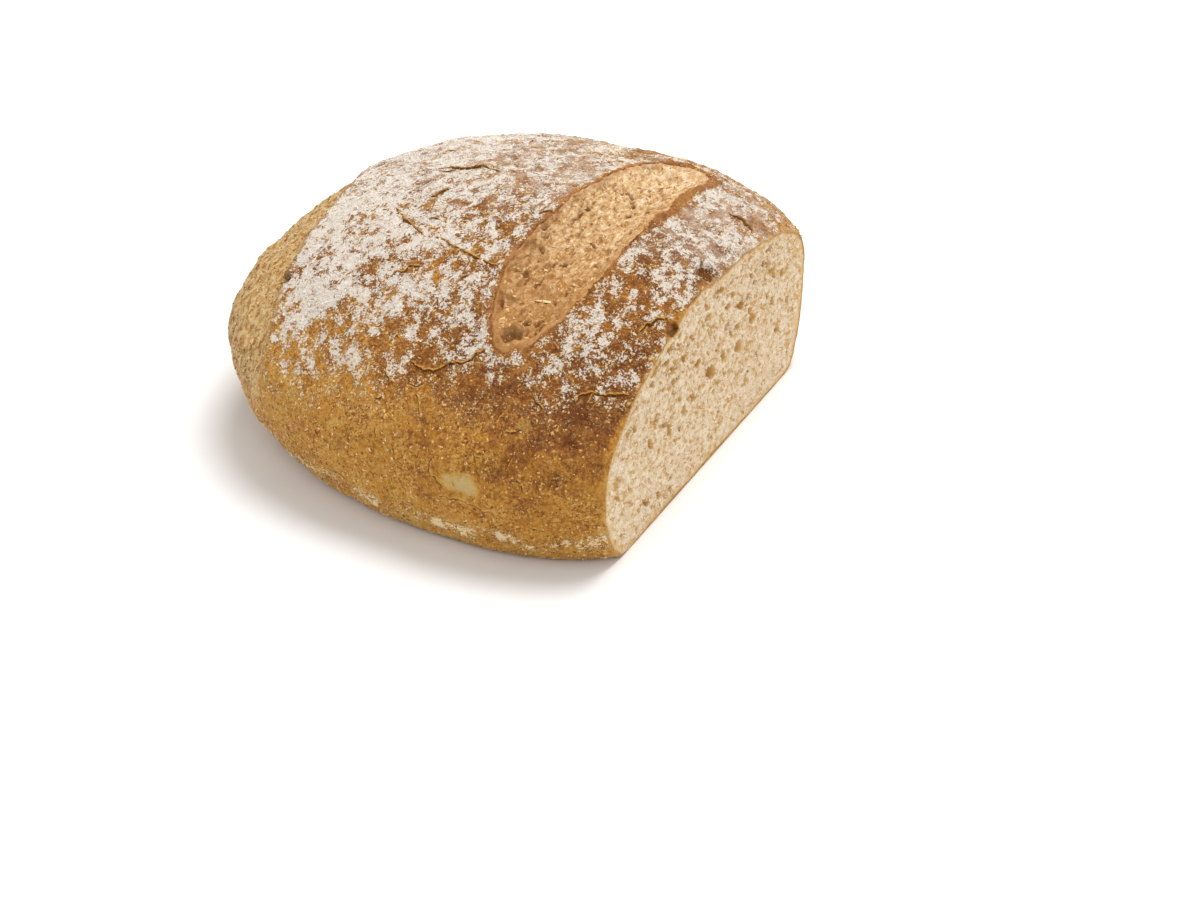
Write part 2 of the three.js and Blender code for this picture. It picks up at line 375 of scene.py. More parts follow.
# %% Humps, swells and the relief in all
HUMPS = [
    ((105, -12, 84), 24, 2.6),
    ((105, -75, 66), 26, -1.6),
    ((-60, 78, 74), 35, 1.3),
    ((0, 70, 88), 40, -1.1),
    ((-88, -55, 40), 35, 0.9),
    ((95, 76, 66), 24, 1.6),
]
SWELLS = [(64, 0.7), (39, 0.4)]
BASE_CALM = 16


def distance_to(points, place, squash=1):
    """Distance of each point from a place, along axes that may be squashed."""
    return np.linalg.norm((points - np.array(place)) * squash, axis=-1)


def dough_relief(points):
    height = score_relief(points) + seam_relief(points)
    for place, spread, rise in HUMPS:
        height += rise * bell(distance_to(points, place), spread)
    for length, rise in SWELLS:
        turn = 2 * math.pi / length
        height += rise * np.sin(turn * points[..., 0]) * np.sin(turn * (points[..., 1] + points[..., 2]))
    return height * step(points[..., 2], 0, BASE_CALM)


print(len(HUMPS), "humps and hollows,", len(SWELLS), "swells")

# %% [markdown]
# ## A net over the loaf
#
# The crust is drawn as upright rings from the far tip to the knife cut, each ring made of rays from a line
# through the loaf's core. If the rays stood at equal angles, the points would crowd on the crown and thin out
# at the front. So both rings and rays are spread by length along the crust, closer where the score and the
# cracks need detail, wider on the wall, and widest on the flat base that nobody sees.

# %% Places of the rings
RINGS = 236
RAYS = 396
TIP_CROWDING = 0.12
SCORE_CLOSER, CLOSER_FROM, CLOSER_TO = 0.35, 15, 35
TRIAL_STEPS = 1500


def ring_places():
    share = np.linspace(0, 1, TRIAL_STEPS)
    x = blend(TIP_X, KNIFE_X, share**2 * (1 + TIP_CROWDING) / (share + TIP_CROWDING))
    starts = np.stack([x, np.full_like(x, CORE_Y), np.full_like(x, CORE_Z)], axis=-1)
    top = ray_lengths(starts, np.broadcast_to([0.0, 0.0, 1.0], starts.shape))
    closer = 1 + SCORE_CLOSER * step(x, CLOSER_FROM, CLOSER_TO)
    travelled = np.concatenate([[0], np.cumsum(np.hypot(np.diff(x), np.diff(top)) * closer[1:])])
    return np.interp(np.linspace(0, travelled[-1], RINGS), travelled, x)


ring_x = ring_places()
print(f"{RINGS} rings, {np.diff(ring_x).min():.2f} to {np.diff(ring_x).max():.2f} mm apart along X")

# %% Points of the smooth crust
TRIAL_ANGLES = 900
BASE_WEIGHT, WALL_WEIGHT, CROWN_WEIGHT = 0.12, 0.68, 1.0
BASE_TO_WALL, WALL_TO_CROWN = (0.5, 9), (38, 58)


def ring_angles(x):
    """Angles round one ring, starting straight down, spread by weighted length along the crust."""
    angle = np.linspace(-math.pi / 2, 3 * math.pi / 2, TRIAL_ANGLES)
    direction = np.stack([np.zeros_like(angle), np.cos(angle), np.sin(angle)], axis=-1)
    start = np.broadcast_to([x, CORE_Y, CORE_Z], direction.shape)
    place = start + direction * ray_lengths(start, direction)[:, None]
    weight = blend(BASE_WEIGHT, WALL_WEIGHT, step(place[:, 2], *BASE_TO_WALL))
    weight = blend(weight, CROWN_WEIGHT, step(place[:, 2], *WALL_TO_CROWN))
    strides = np.linalg.norm(np.diff(place, axis=0), axis=-1) * (weight[1:] + weight[:-1]) / 2
    travelled = np.concatenate([[0], np.cumsum(strides)])
    return np.interp(np.arange(RAYS) / RAYS * travelled[-1], travelled, angle)


angles = np.array([ring_angles(x) for x in ring_x[1:]])
rays = np.stack([np.zeros_like(angles), np.cos(angles), np.sin(angles)], axis=-1)
cores = np.stack(np.broadcast_arrays(ring_x[1:, None], CORE_Y, CORE_Z + 0 * angles), axis=-1)
lengths = ray_lengths(cores, rays)
smooth_crust = cores + rays * lengths[..., None]
x, y, z = np.moveaxis(smooth_crust, -1, 0)
print("smooth crust:", smooth_crust.shape)

# %% Push the large relief out along the rays
CORE_CALM = 25
LEVEL = 1e-3

pushed = dough_relief(smooth_crust) * step(lengths, 0, CORE_CALM)
dough = smooth_crust + rays * pushed[..., None]
dough[..., 2] = np.where(dough[..., 2] < LEVEL, 0, dough[..., 2])


def outward(net):
    """Directions straight out of a net of rings."""
    along = np.gradient(net, axis=0)
    around = np.roll(net, -1, axis=1) - np.roll(net, 1, axis=1)
    normal = np.cross(around, along)
    return normal / np.maximum(np.linalg.norm(normal, axis=-1, keepdims=True), TINY)


out = outward(dough)
print(f"large relief from {pushed.min():.1f} to {pushed.max():.1f} mm")

# %% [markdown]
# ## The skin close up
#
# Seen closely the crust is not smooth. The band beyond the seam is drawn out in streaks; the wall has shallow
# scales, a few blisters and one bald spot; and bits of crust broke away at the knife and under the seam. Each
# is a small height added straight out of the surface. A bump in the material would be cheaper, but it leaves
# the outline smooth. In the score the skin only dips, because the torn floor there is a piece of its own.

# %% Masks for the parts of the crust
SCORE_EDGE, BAND_EDGE, BAND_LOW = (-1.0, 0.8), (0.5, 3), (18, 46)
BALD_SPOT, BALD_SQUASH, BALD_EDGE = (49, -121.5, 36), (0.9, 1, 1.35), (4.8, 9.0)
BALD_WANDER, BALD_WANDER_SIZE = 2.6, 5
BLISTERS = [((70, -106.5, 59), 3.2), ((-8.5, -115.5, 37), 2.8), ((82, 100, 52), 4.0), ((-60, 88, 46), 3.8)]
NOTCHES = [((101.5, -3, 85), 4.8), ((105, -45, 80), 3.4), ((-64, -60, 72), 3.4)]
NOTCH_STRETCH = 1.5
NOTCH_SQUASH = (1, 1 / NOTCH_STRETCH, 1)
BLISTER_WANDER, NOTCH_WANDER, SPOT_WANDER_SIZE = 1.7, 1.8, 3.5
SPOT_CORE = 0.6


def spots(points, places, wander, squash=1):
    """1 inside uneven round spots, each given by its place and radius, and 0 outside them."""
    uneven = wander * rough(points, SPOT_WANDER_SIZE, seed=27)
    return sum(1 - step(distance_to(points, place, squash) + uneven, SPOT_CORE * size, size)
               for place, size in places)


inside = score_inside(smooth_crust)
score_mask = step(inside, *SCORE_EDGE)
beyond = beyond_seam(smooth_crust)
band_mask = step(beyond, *BAND_EDGE) * step(z, *BAND_LOW)
bald_wander = BALD_WANDER * rough(smooth_crust, BALD_WANDER_SIZE, seed=23)
bald = 1 - step(distance_to(smooth_crust, BALD_SPOT, BALD_SQUASH) + bald_wander, *BALD_EDGE)
notch = spots(smooth_crust, NOTCHES, NOTCH_WANDER, NOTCH_SQUASH)
blister = spots(smooth_crust, BLISTERS, BLISTER_WANDER)
print(f"the score covers {score_mask.mean():.1%} of the net, the seam's band {band_mask.mean():.1%}")

# %% Streaked band, scaly wall, blisters, notches and the chipped edge at the knife
BAND_STREAKS, STREAK_SIZE, STREAK_ALONG, STREAK_UP = 0.5, 3.0, 0.16, 0.3
BAND_LUMPS, BAND_LUMP_SIZE = 0.9, 7
WALL_SCALES, SCALE_SIZE, SCALE_RIDGES = 0.45, 9, (0.55, 1.0)
SKIN_GRAIN, SKIN_GRAIN_SIZE = 0.36, 2.6
BALD_DIP, BLISTER_DIP, NOTCH_DEPTH = 0.4, 0.4, 3.4
CHIP_DEPTH, CHIP_REACH, CHIP_SIZE = 1.1, 4, 5
CHIP_SQUASH, CHIP_LEVELS = (0.3, 1, 1), (0.25, 1.1)
SCORE_UNDER = 2.2
SKIN_CALM = 6

streak_points = np.stack([beyond, y * STREAK_ALONG, z * STREAK_UP], axis=-1)
band_height = BAND_STREAKS * rough(streak_points, STREAK_SIZE, seed=53)
band_height = band_height + BAND_LUMPS * rough(smooth_crust, BAND_LUMP_SIZE, seed=55)
ridges = 1 - np.abs(rough(smooth_crust, SCALE_SIZE, seed=57))
scale_height = WALL_SCALES * step(ridges, *SCALE_RIDGES)
grain_height = SKIN_GRAIN * rough(smooth_crust, SKIN_GRAIN_SIZE, seed=61, layers=2)
chips = step(rough(smooth_crust * CHIP_SQUASH, CHIP_SIZE, seed=97), *CHIP_LEVELS)
chips = chips * step(x, KNIFE_X - CHIP_REACH, KNIFE_X)
sunk_height = BALD_DIP * bald + BLISTER_DIP * blister + NOTCH_DEPTH * notch + CHIP_DEPTH * chips
uneven = band_height * band_mask + scale_height * (1 - score_mask) + grain_height
skin_height = (uneven - sunk_height - SCORE_UNDER * score_mask) * step(z, 0, SKIN_CALM)
skin_height = skin_height * step(lengths, 0, CORE_CALM)
print(f"fine relief from {skin_height.min():.1f} to {skin_height.max():.1f} mm")

# %% Push the fine relief out, and stay in the knife's plane at the cut
TURN_FROM, TURN_TO = 8, 1

to_cut = step(x, KNIFE_X - TURN_FROM, KNIFE_X - TURN_TO)
push = blend(out, rays, to_cut[..., None])
push = push / np.linalg.norm(push, axis=-1, keepdims=True)
skin = dough + push * skin_height[..., None]
skin[..., 0] = np.minimum(skin[..., 0], KNIFE_X)
skin[-1, :, 0] = KNIFE_X
skin[..., 2] = np.maximum(skin[..., 2], 0)
print("skin:", skin.shape)

# %% [markdown]
# ## Where the flour lies
#
# The loaf was dusted before it was scored, so flour lies on the old skin and not on what opened later: it
# covers the crown, thickest beside the seam, fades down the wall, and is missing in the score and beyond the
# seam. A thin line of it also stuck above the base. It could be painted on by hand, but a field is steered by
# a few numbers. A first field gives the share of crust covered at each place. Random clusters and streaks are
# then added to that share, and a thin veil dulls the crown's back.

# %% Share of the crust under flour
FLOUR_CALM, FLOUR_THICK, THICK_FROM, THICK_TO = 0.52, 0.25, 12, -45
FLOUR_LOW, FLOUR_LOW_SLOPE, FLOUR_LOW_FROM, FLOUR_LOW_LENGTH = 36, 0.2, -33, 100
FLOUR_FADE_LEFT, FLOUR_FADE_RIGHT, FADE_TURN, FADE_POWER = 41, 26, (30, 78), 1.2
BARE_SPOTS = [
    ((30, 78, 88), 26, 0.2),
    ((95, -55, 81), 13, 0.34),
    ((47, -99, 64), 18, 0.14),
    ((86, -30, 88), 40, 0.1),
    ((84, 60, 82), 34, 0.04),
    ((26, -62, 86), 15, -0.1),
    ((42, -87, 75), 12, -0.46),
]
LEFT_BLEND, BACK_BLEND = 14, (-15, 20)
BARE_LEFT, BARE_FRONT, BARE_BACK = 1.4, 0.6, 4
BARE_BEFORE, BARE_AFTER = 0.5, 2.5
SEAM_BARE = (-1, 1.5)

flour_low = FLOUR_LOW + FLOUR_LOW_SLOPE * np.clip(x - FLOUR_LOW_FROM, 0, FLOUR_LOW_LENGTH)
flour_fade = blend(FLOUR_FADE_LEFT, FLOUR_FADE_RIGHT, step(x, *FADE_TURN))
cover = FLOUR_CALM + FLOUR_THICK * step(x, THICK_FROM, THICK_TO)
for place, spread, amount in BARE_SPOTS:
    cover = cover - amount * bell(distance_to(smooth_crust, place), spread)
cover = cover * np.clip((z - flour_low) / flour_fade, 0, 1) ** FADE_POWER
left_of_score = step(SCORE_X - x, 0, LEFT_BLEND)
toward_back = step(y, *BACK_BLEND)
rim_bare = blend(blend(BARE_FRONT, BARE_BACK, toward_back), BARE_LEFT, left_of_score)
cover = cover * step(-inside, rim_bare - BARE_BEFORE, rim_bare + BARE_AFTER)
cover = cover * (1 - step(beyond, *SEAM_BARE)) * (1 - notch)
print(f"flour covers about {cover.mean():.0%} of the net")

# %% A line of flour above the base
BASE_LINE_HEIGHT, BASE_LINE_WIDTH, BASE_LINE_SHARE = 13.0, 3.4, 0.5
BASE_LINE_WANDER, BASE_LINE_WANDER_SIZE = 2, 20
BASE_LINE_GAP_SIZE, BASE_LINE_GAPS = 12, (-1.2, 0.1)
BASE_LINE_BACK, BASE_LINE_FRONT, BASE_LINE_TURN = 0.5, 1.1, (20, 70)

base_height = BASE_LINE_HEIGHT + BASE_LINE_WANDER * rough(smooth_crust, BASE_LINE_WANDER_SIZE, seed=67)
base_line = bell(z - base_height, BASE_LINE_WIDTH)
base_line = base_line * step(rough(smooth_crust, BASE_LINE_GAP_SIZE, seed=69), *BASE_LINE_GAPS)
base_line = base_line * blend(BASE_LINE_BACK, BASE_LINE_FRONT, step(-y, *BASE_LINE_TURN))
cover = np.maximum(cover, BASE_LINE_SHARE * base_line)
print(f"with that line about {cover.mean():.0%}")

# %% Clusters and streaks
STREAK_TURN = np.array([[1.0, 0.15, 0], [-0.1, 0.78, 0], [0, 0, 1.0]])
CLUSTER_SIZES = [(9, 0.35), (4.2, 0.8), (2.2, 0.9)]
CLUSTER_SEED, CLUSTER_GAIN = 71, 0.26
CLUSTER_COVER, FLOUR_START = 0.3, 0.04
VEIL_BACK, VEIL_COVER, VEIL_THINNER = (-30, 40), (0.1, 0.6), 0.1

flour_points = smooth_crust @ STREAK_TURN
clusters = sum(share * bumps(flour_points, size, CLUSTER_SEED + size) for size, share in CLUSTER_SIZES)
clusters = clusters / clusters.std()
flour_mask = cover + CLUSTER_GAIN * clusters * step(cover, 0, CLUSTER_COVER)
flour_mask = np.clip(flour_mask, 0, 1) * step(cover, 0, FLOUR_START)
veil = step(y, *VEIL_BACK) * step(cover, *VEIL_COVER)
flour_mask = flour_mask - VEIL_THINNER * veil * flour_mask
print(f"flour pattern covers {flour_mask.mean():.0%} of the net")

# %% [markdown]
# ## How far each place baked
#
# One number per point says how deeply the crust browned: straw-pale on the bald spot, golden on the wall, a
# little paler towards the base, brown on the crown. The reddish lips of the score have a number of their own,
# and a third one marks where painted shade goes, in places that are broken or sunk. Colours could be stored on
# the points instead, but numbers leave the choice of tones, and the fine mottling between points, to the
# material.

# %% Browning of the crust
WALL_BAKE, CROWN_BAKE, BASE_BAKE = 0.43, 0.36, 0.08
CROWN_RISE, BASE_RISE = (42, 88), (2, 13)
BAKE_WANDER, BAKE_WANDER_SIZE = 0.1, 34
DARK_PATCHES = [
    ((90, -102, 54), 36, 0.32),
    ((20, -105, 58), 28, 0.14),
    ((88, -20, 86), 45, 0.1),
    ((-100, 10, 40), 30, -0.05),
]
BAND_SHARE, BAND_BAKE, BALD_BAKE, BLISTER_BAKE, NOTCH_BAKE, CHIP_BAKE = 0.8, 0.4, 0.05, 0.25, 0.6, 0.42
KNIFE_PALER, KNIFE_PALE_WIDTH, KNIFE_PALE_RISE = 0.22, 3, (8, 20)
NOTCH_SHADE, NOTCH_DARK_EDGE, BLISTER_SHADE = 1.1, (0.2, 0.5), 0.5

bake = WALL_BAKE + CROWN_BAKE * step(z, *CROWN_RISE) - BASE_BAKE * (1 - step(z, *BASE_RISE))
bake = bake + BAKE_WANDER * rough(smooth_crust, BAKE_WANDER_SIZE, seed=83)
for place, spread, amount in DARK_PATCHES:
    bake = bake + amount * bell(distance_to(smooth_crust, place), spread)
for mask, level in ((BAND_SHARE * band_mask, BAND_BAKE), (bald, BALD_BAKE), (blister, BLISTER_BAKE),
                    (notch, NOTCH_BAKE), (chips, CHIP_BAKE)):
    bake = blend(bake, level, np.clip(mask, 0, 1))
bake = bake - KNIFE_PALER * step(x, KNIFE_X - KNIFE_PALE_WIDTH, KNIFE_X) * step(z, *KNIFE_PALE_RISE)
bake = np.clip(bake, 0, 1)
# Painted shade: darker in the broken notches and the sunk blisters.
dark = np.clip(NOTCH_SHADE * step(notch, *NOTCH_DARK_EDGE) + BLISTER_SHADE * blister, 0, 1)
print(f"browning from {bake.min():.2f} to {bake.max():.2f}")

# %% Reddish lips of the score
LIP_TONE_LEFT, LIP_TONE_FRONT, LIP_TONE_BACK = 0.8, 0.25, 0.6
LIP_PLACE_LEFT, LIP_PLACE_RIGHT = 2.0, 2.2
LIP_SPREAD_LEFT, LIP_SPREAD_RIGHT = 3.2, 2.8

lip_right = blend(LIP_TONE_FRONT, LIP_TONE_BACK, toward_back)
lip_place = blend(LIP_PLACE_RIGHT, LIP_PLACE_LEFT, left_of_score)
lip_spread = blend(LIP_SPREAD_RIGHT, LIP_SPREAD_LEFT, left_of_score)
lip = blend(lip_right, LIP_TONE_LEFT, left_of_score) * bell(inside + lip_place, lip_spread)
print(f"lips up to {lip.max():.2f}")

# %% [markdown]
# ## The crust piece
#
# The skin ends at the knife. There the crust shows its thickness as a narrow tan rim, and behind the rim a
# shallow pocket takes the crumb. A boolean could cut the loaf there, but it leaves ragged slivers. Instead
# tip, rings, rim, pocket and its floor follow each other as rows of one net, so the crust closes into a solid
# without a single loose face.

# %% Rim and pocket
RIM_WIDTH, RIM_NARROWEST, RIM_WIDEST = 1.7, 0.6, 3.2
RIM_WANDER, RIM_WANDER_SIZE = 0.8, 3.5
RIM_ROWS = (0.5, 1.0)
POCKET_DEPTH = 12

edge_loop = skin[-1]
edge_radius = np.hypot(edge_loop[:, 1] - CORE_Y, edge_loop[:, 2] - CORE_Z)
edge_angle = angles[-1]
rim_width = RIM_WIDTH + RIM_WANDER * rough(edge_loop, RIM_WANDER_SIZE, seed=91)
rim_width = np.clip(rim_width, RIM_NARROWEST, RIM_WIDEST)
crumb_radius = edge_radius - rim_width


def loop_at(radius, x):
    return np.stack([np.full_like(radius, x), CORE_Y + radius * np.cos(edge_angle),
                     CORE_Z + radius * np.sin(edge_angle)], axis=-1)


rim_rows = [loop_at(edge_radius - share * rim_width, KNIFE_X) for share in RIM_ROWS]
pocket_row = loop_at(crumb_radius, KNIFE_X - POCKET_DEPTH)
tip_point = np.array([TIP_X, CORE_Y, CORE_Z])
pocket_point = np.array([KNIFE_X - POCKET_DEPTH, CORE_Y, CORE_Z])
crust_rows = np.concatenate([skin, np.array(rim_rows), pocket_row[None]])
print(f"rim {rim_width.min():.1f} to {rim_width.max():.1f} mm wide, {len(crust_rows)} rows in all")

# %% Faces of a net that is closed at both ends
def net_faces(rows, around):
    first = 1 + np.arange(around)
    row = np.arange(rows - 1)[:, None] * around
    here = row + first
    there = row + np.roll(first, -1)
    quads = np.stack([here, there, there + around, here + around], axis=-1).reshape(-1, 4)
    last = first + (rows - 1) * around
    end = 1 + rows * around
    start_fan = np.stack([np.zeros(around, int), np.roll(first, -1), first], axis=-1)
    end_fan = np.stack([last, np.roll(last, -1), np.full(around, end)], axis=-1)
    return start_fan.tolist() + quads.tolist() + end_fan.tolist()


crust_faces = net_faces(len(crust_rows), RAYS)
print(len(crust_faces), "faces")

# %% The crust piece
SHARP = math.radians(58)
TIP_BAKE, RIM_BAKE = 0.35, (0.45, 0.3, 0.3)
RIM_SHARE = (0.5, 1, 1)


def row_values(numbers, tip=0, rim=(0, 0, 0)):
    """A value for each point of the crust: the tip, the skin, the rim and the pocket."""
    extra = np.concatenate([np.full(RAYS, value) for value in rim])
    return np.concatenate([[tip], numbers.ravel(), extra, [rim[-1]]])


crust_points = np.concatenate([[tip_point], crust_rows.reshape(-1, 3), [pocket_point]])
crust_values = {
    "bake": row_values(bake, TIP_BAKE, RIM_BAKE),
    "flour": row_values(flour_mask),
    "band": row_values(band_mask, tip=1),
    "dark": row_values(dark),
    "veil": row_values(veil),
    "rim": row_values(np.zeros_like(bake), rim=RIM_SHARE),
    "lip": row_values(lip),
    "warm": row_values(base_line),
}
crust = make_piece("crust", crust_points, crust_faces, crust_values, SHARP)

# %% [markdown]
# ## The torn floor of the score
#
# Inside the score the skin is gone and one looks on torn dough: small crumbs, ridges drawn out along the
# tear, and open pores. That is too fine for the crust's own net, so the crust dips a little there and a
# second, much closer net lies in the dip. At its border it dives under the crust's skin, which gives the
# ragged edge for free, and behind it closes to a point deep in the loaf.

# %% Cells sunk into a net
CELL_LOOK, CELL_WOBBLE, CELL_ROUND = 1.3, 0.4, 0.6
SEED = 4127

draw = np.random.default_rng(SEED)


def cell_depths(places, cells, wobble):
    """Depth of cells under a net of places in a plane; a cell is a middle, a radius, a stretch and a turn."""
    tree = KDTree(len(places))
    for index, (across, up) in enumerate(places):
        tree.insert((across, up, 0), index)
    tree.balance()
    depth = np.zeros(len(places))
    for middle, radius, stretch, turn in cells:
        found = tree.find_range((*middle, 0), CELL_LOOK * radius * stretch)
        near = np.array([index for _, index, _ in found], int)
        offset = places[near] - middle
        along = (offset[:, 0] * math.cos(turn) + offset[:, 1] * math.sin(turn)) / stretch
        aside = (offset[:, 1] * math.cos(turn) - offset[:, 0] * math.sin(turn)) * stretch
        share = np.clip(1 - (along**2 + aside**2) / radius**2 + CELL_WOBBLE * wobble[near], 0, 1)
        depth[near] = np.maximum(depth[near], radius * share**CELL_ROUND)
    return depth


print("random draws start from seed", SEED)

# %% A net closed behind
def sheet_quads(numbers):
    """Faces between the rows and columns of a net of point numbers."""
    corners = [numbers[:-1, :-1], numbers[1:, :-1], numbers[1:, 1:], numbers[:-1, 1:]]
    return np.stack(corners, axis=-1).reshape(-1, 4)


def closed_sheet(name, net, deep, values):
    """A piece from a net of points, closed behind by faces from its border to one deep point."""
    numbers = np.arange(net[..., 0].size).reshape(net.shape[:2])
    border = np.concatenate([numbers[:-1, 0], numbers[-1, :-1], numbers[:0:-1, -1], numbers[0, :0:-1]])
    fan = np.stack([np.roll(border, -1), border, np.full(len(border), numbers.size)], axis=-1)
    points = np.concatenate([net.reshape(-1, 3), [deep]])
    values = {label: np.append(layer.ravel(), 0) for label, layer in values.items()}
    return make_piece(name, points, sheet_quads(numbers).tolist() + fan.tolist(), values, SHARP)


print("helpers for closed nets ready")

# %% A close net in the score
TORN_STEP, TORN_MARGIN = 0.45, 4
ABOVE = 130

dough_rows = np.concatenate([[tip_point], dough.reshape(-1, 3), [[KNIFE_X, CORE_Y, CORE_Z]]])
dough_tree = BVHTree.FromPolygons(dough_rows.tolist(), net_faces(len(dough), RAYS))
torn_low = SCORE_OUTLINE.min(axis=0) - TORN_MARGIN
torn_high = SCORE_OUTLINE.max(axis=0) + TORN_MARGIN
torn_x, torn_y = np.meshgrid(np.arange(torn_low[0], torn_high[0], TORN_STEP),
                             np.arange(torn_low[1], torn_high[1], TORN_STEP), indexing="ij")
torn = np.array([dough_tree.ray_cast(Vector((*place, ABOVE)), Vector((0, 0, -1)))[0]
                 for place in zip(torn_x.ravel(), torn_y.ravel())]).reshape(*torn_x.shape, 3)
torn_inside = score_inside(torn)
print(f"torn floor: {torn.shape[0]} x {torn.shape[1]} points")

# %% Ridges and crumbs of the torn floor
TORN_RIDGES, RIDGE_LEVEL, RIDGE_SIZE, RIDGE_SQUASH = 1.6, 0.35, 4.5, (1, 0.42, 1)
TORN_CRUMBS, TORN_CRUMB_SIZE = 0.55, 2.2
TORN_FINE, TORN_FINE_SIZE = 0.2, 0.9
SPINE_HEIGHT, SPINE_WIDTH, SPINE_SHIFT = 0.8, 2.2, 4
SPINE_WANDER, SPINE_WANDER_SIZE = 3, 22

torn_height = TORN_RIDGES * (RIDGE_LEVEL - np.abs(rough(torn * RIDGE_SQUASH, RIDGE_SIZE, seed=45)))
torn_crumbs = TORN_CRUMBS * rough(torn, TORN_CRUMB_SIZE, seed=47, layers=2)
torn_height += torn_crumbs + TORN_FINE * bumps(torn, TORN_FINE_SIZE, seed=49)
from_spine = torn_x - SCORE_X + SPINE_SHIFT + SPINE_WANDER * rough(torn, SPINE_WANDER_SIZE, seed=43)
torn_height += SPINE_HEIGHT * bell(from_spine, SPINE_WIDTH)
print(f"ridges from {torn_height.min():.1f} to {torn_height.max():.1f} mm")

# %% Pores and pits of the torn floor
TORN_PORES = 480
PORE_SMALLEST, PORE_LARGEST, PORE_POWER = 0.3, 1.8, 3.2
PORE_STRETCH, PORE_TURN, PORE_TURN_SPREAD = (1.2, 2.0), math.pi / 2, 0.35
PORE_WOBBLE_SIZE = 1.5
PORE_DEPTH, PORE_SHALLOW, PORE_SHALLOW_EDGE = 1.1, 0.4, (0.5, 4)
TORN_PITS = [((49.5, -76), 4.6, 3.4), ((51.5, -68), 2.2, 1.8)]
PIT_SQUASH, PIT_WANDER, PIT_WANDER_SIZE, PIT_CORE = (1, 0.8), 0.8, 4, 0.55
PIT_LIP, PIT_LIP_PLACE, PIT_LIP_WIDTH = 0.8, 1.15, 1.0


def drawn_pore():
    middle = draw.uniform(torn_low, torn_high)
    radius = blend(PORE_SMALLEST, PORE_LARGEST, draw.uniform() ** PORE_POWER)
    return middle, radius, draw.uniform(*PORE_STRETCH), draw.normal(PORE_TURN, PORE_TURN_SPREAD)


torn_places = np.stack([torn_x, torn_y], axis=-1)
pores = [drawn_pore() for _ in range(TORN_PORES)]
pore_wobble = bumps(torn, PORE_WOBBLE_SIZE, seed=51)
pore_depth = cell_depths(torn_places.reshape(-1, 2), pores, pore_wobble.ravel()).reshape(torn_x.shape)
pore_depth = pore_depth * blend(PORE_SHALLOW, 1.0, step(torn_inside, *PORE_SHALLOW_EDGE))
pit = np.zeros_like(torn_x)
for middle, radius, depth in TORN_PITS:
    away = distance_to(torn_places, middle, PIT_SQUASH) + PIT_WANDER * rough(torn, PIT_WANDER_SIZE, seed=59)
    in_pit = 1 - step(away, PIT_CORE * radius, radius)
    pit = np.maximum(pit, in_pit)
    torn_height += PIT_LIP * bell(away - PIT_LIP_PLACE * radius, PIT_LIP_WIDTH) - depth * in_pit
print(f"{len(pores)} pores, the deepest {pore_depth.max():.1f} mm")

# %% Sink the pores, dive under the skin at the border
FLOOR_EDGE = (-0.8, 0.8)
DIVE, DIVE_EDGE, DIVE_SLOPE, DIVE_FROM = 0.5, (-1.2, 0), 0.9, -1
WELL_INSIDE = 2

torn_height = (torn_height - PORE_DEPTH * pore_depth) * step(torn_inside, *FLOOR_EDGE)
dive = DIVE * (1 - step(torn_inside, *DIVE_EDGE)) + DIVE_SLOPE * np.maximum(0, DIVE_FROM - torn_inside)
torn_height -= dive
torn[..., 2] += torn_height
torn_middle = torn_height[torn_inside > WELL_INSIDE]
print(f"torn floor from {torn_middle.min():.1f} to {torn_middle.max():.1f} mm")

# %% The torn piece
TORN_DEEP = 60
CREVICE_PLACE, CREVICE_WIDTH, CREVICE_SHARE = 0.3, 0.9, 0.25
PORE_HOLLOW, LOW_HOLLOW, LOW_SHARE = (0.15, 1.1), (0.1, 1.2), 0.4
SKIN_START, SKIN_RIGHT, SKIN_LEFT, SKIN_TURN = -1.2, 4.5, 2.4, (-4, 8)
FRONT_RISE, BACK_RISE, BACK_SHARE = (10, -70), (20, 65), 0.6

# Painted shade along the crevice under the score's left edge.
crevice_shade = bell(torn_inside - CREVICE_PLACE, CREVICE_WIDTH) * step(SCORE_X - torn_x, 0, SIDE_BLEND)
skin_end = blend(SKIN_RIGHT, SKIN_LEFT, step(SCORE_X - torn_x, *SKIN_TURN))
low_floor_shade = LOW_SHARE * step(-torn_height, *LOW_HOLLOW)
# hollow: painted shade in the pores, the low places and the crevice.
torn_values = {
    "hollow": step(pore_depth, *PORE_HOLLOW) + low_floor_shade + CREVICE_SHARE * crevice_shade,
    "skin": 1 - step(torn_inside, SKIN_START, skin_end),
    "pit": pit,
    "front": step(torn_y, *FRONT_RISE) - BACK_SHARE * step(torn_y, *BACK_RISE),
}
torn_score = closed_sheet("torn_score", torn, (SCORE_X, CORE_Y, TORN_DEEP), torn_values)
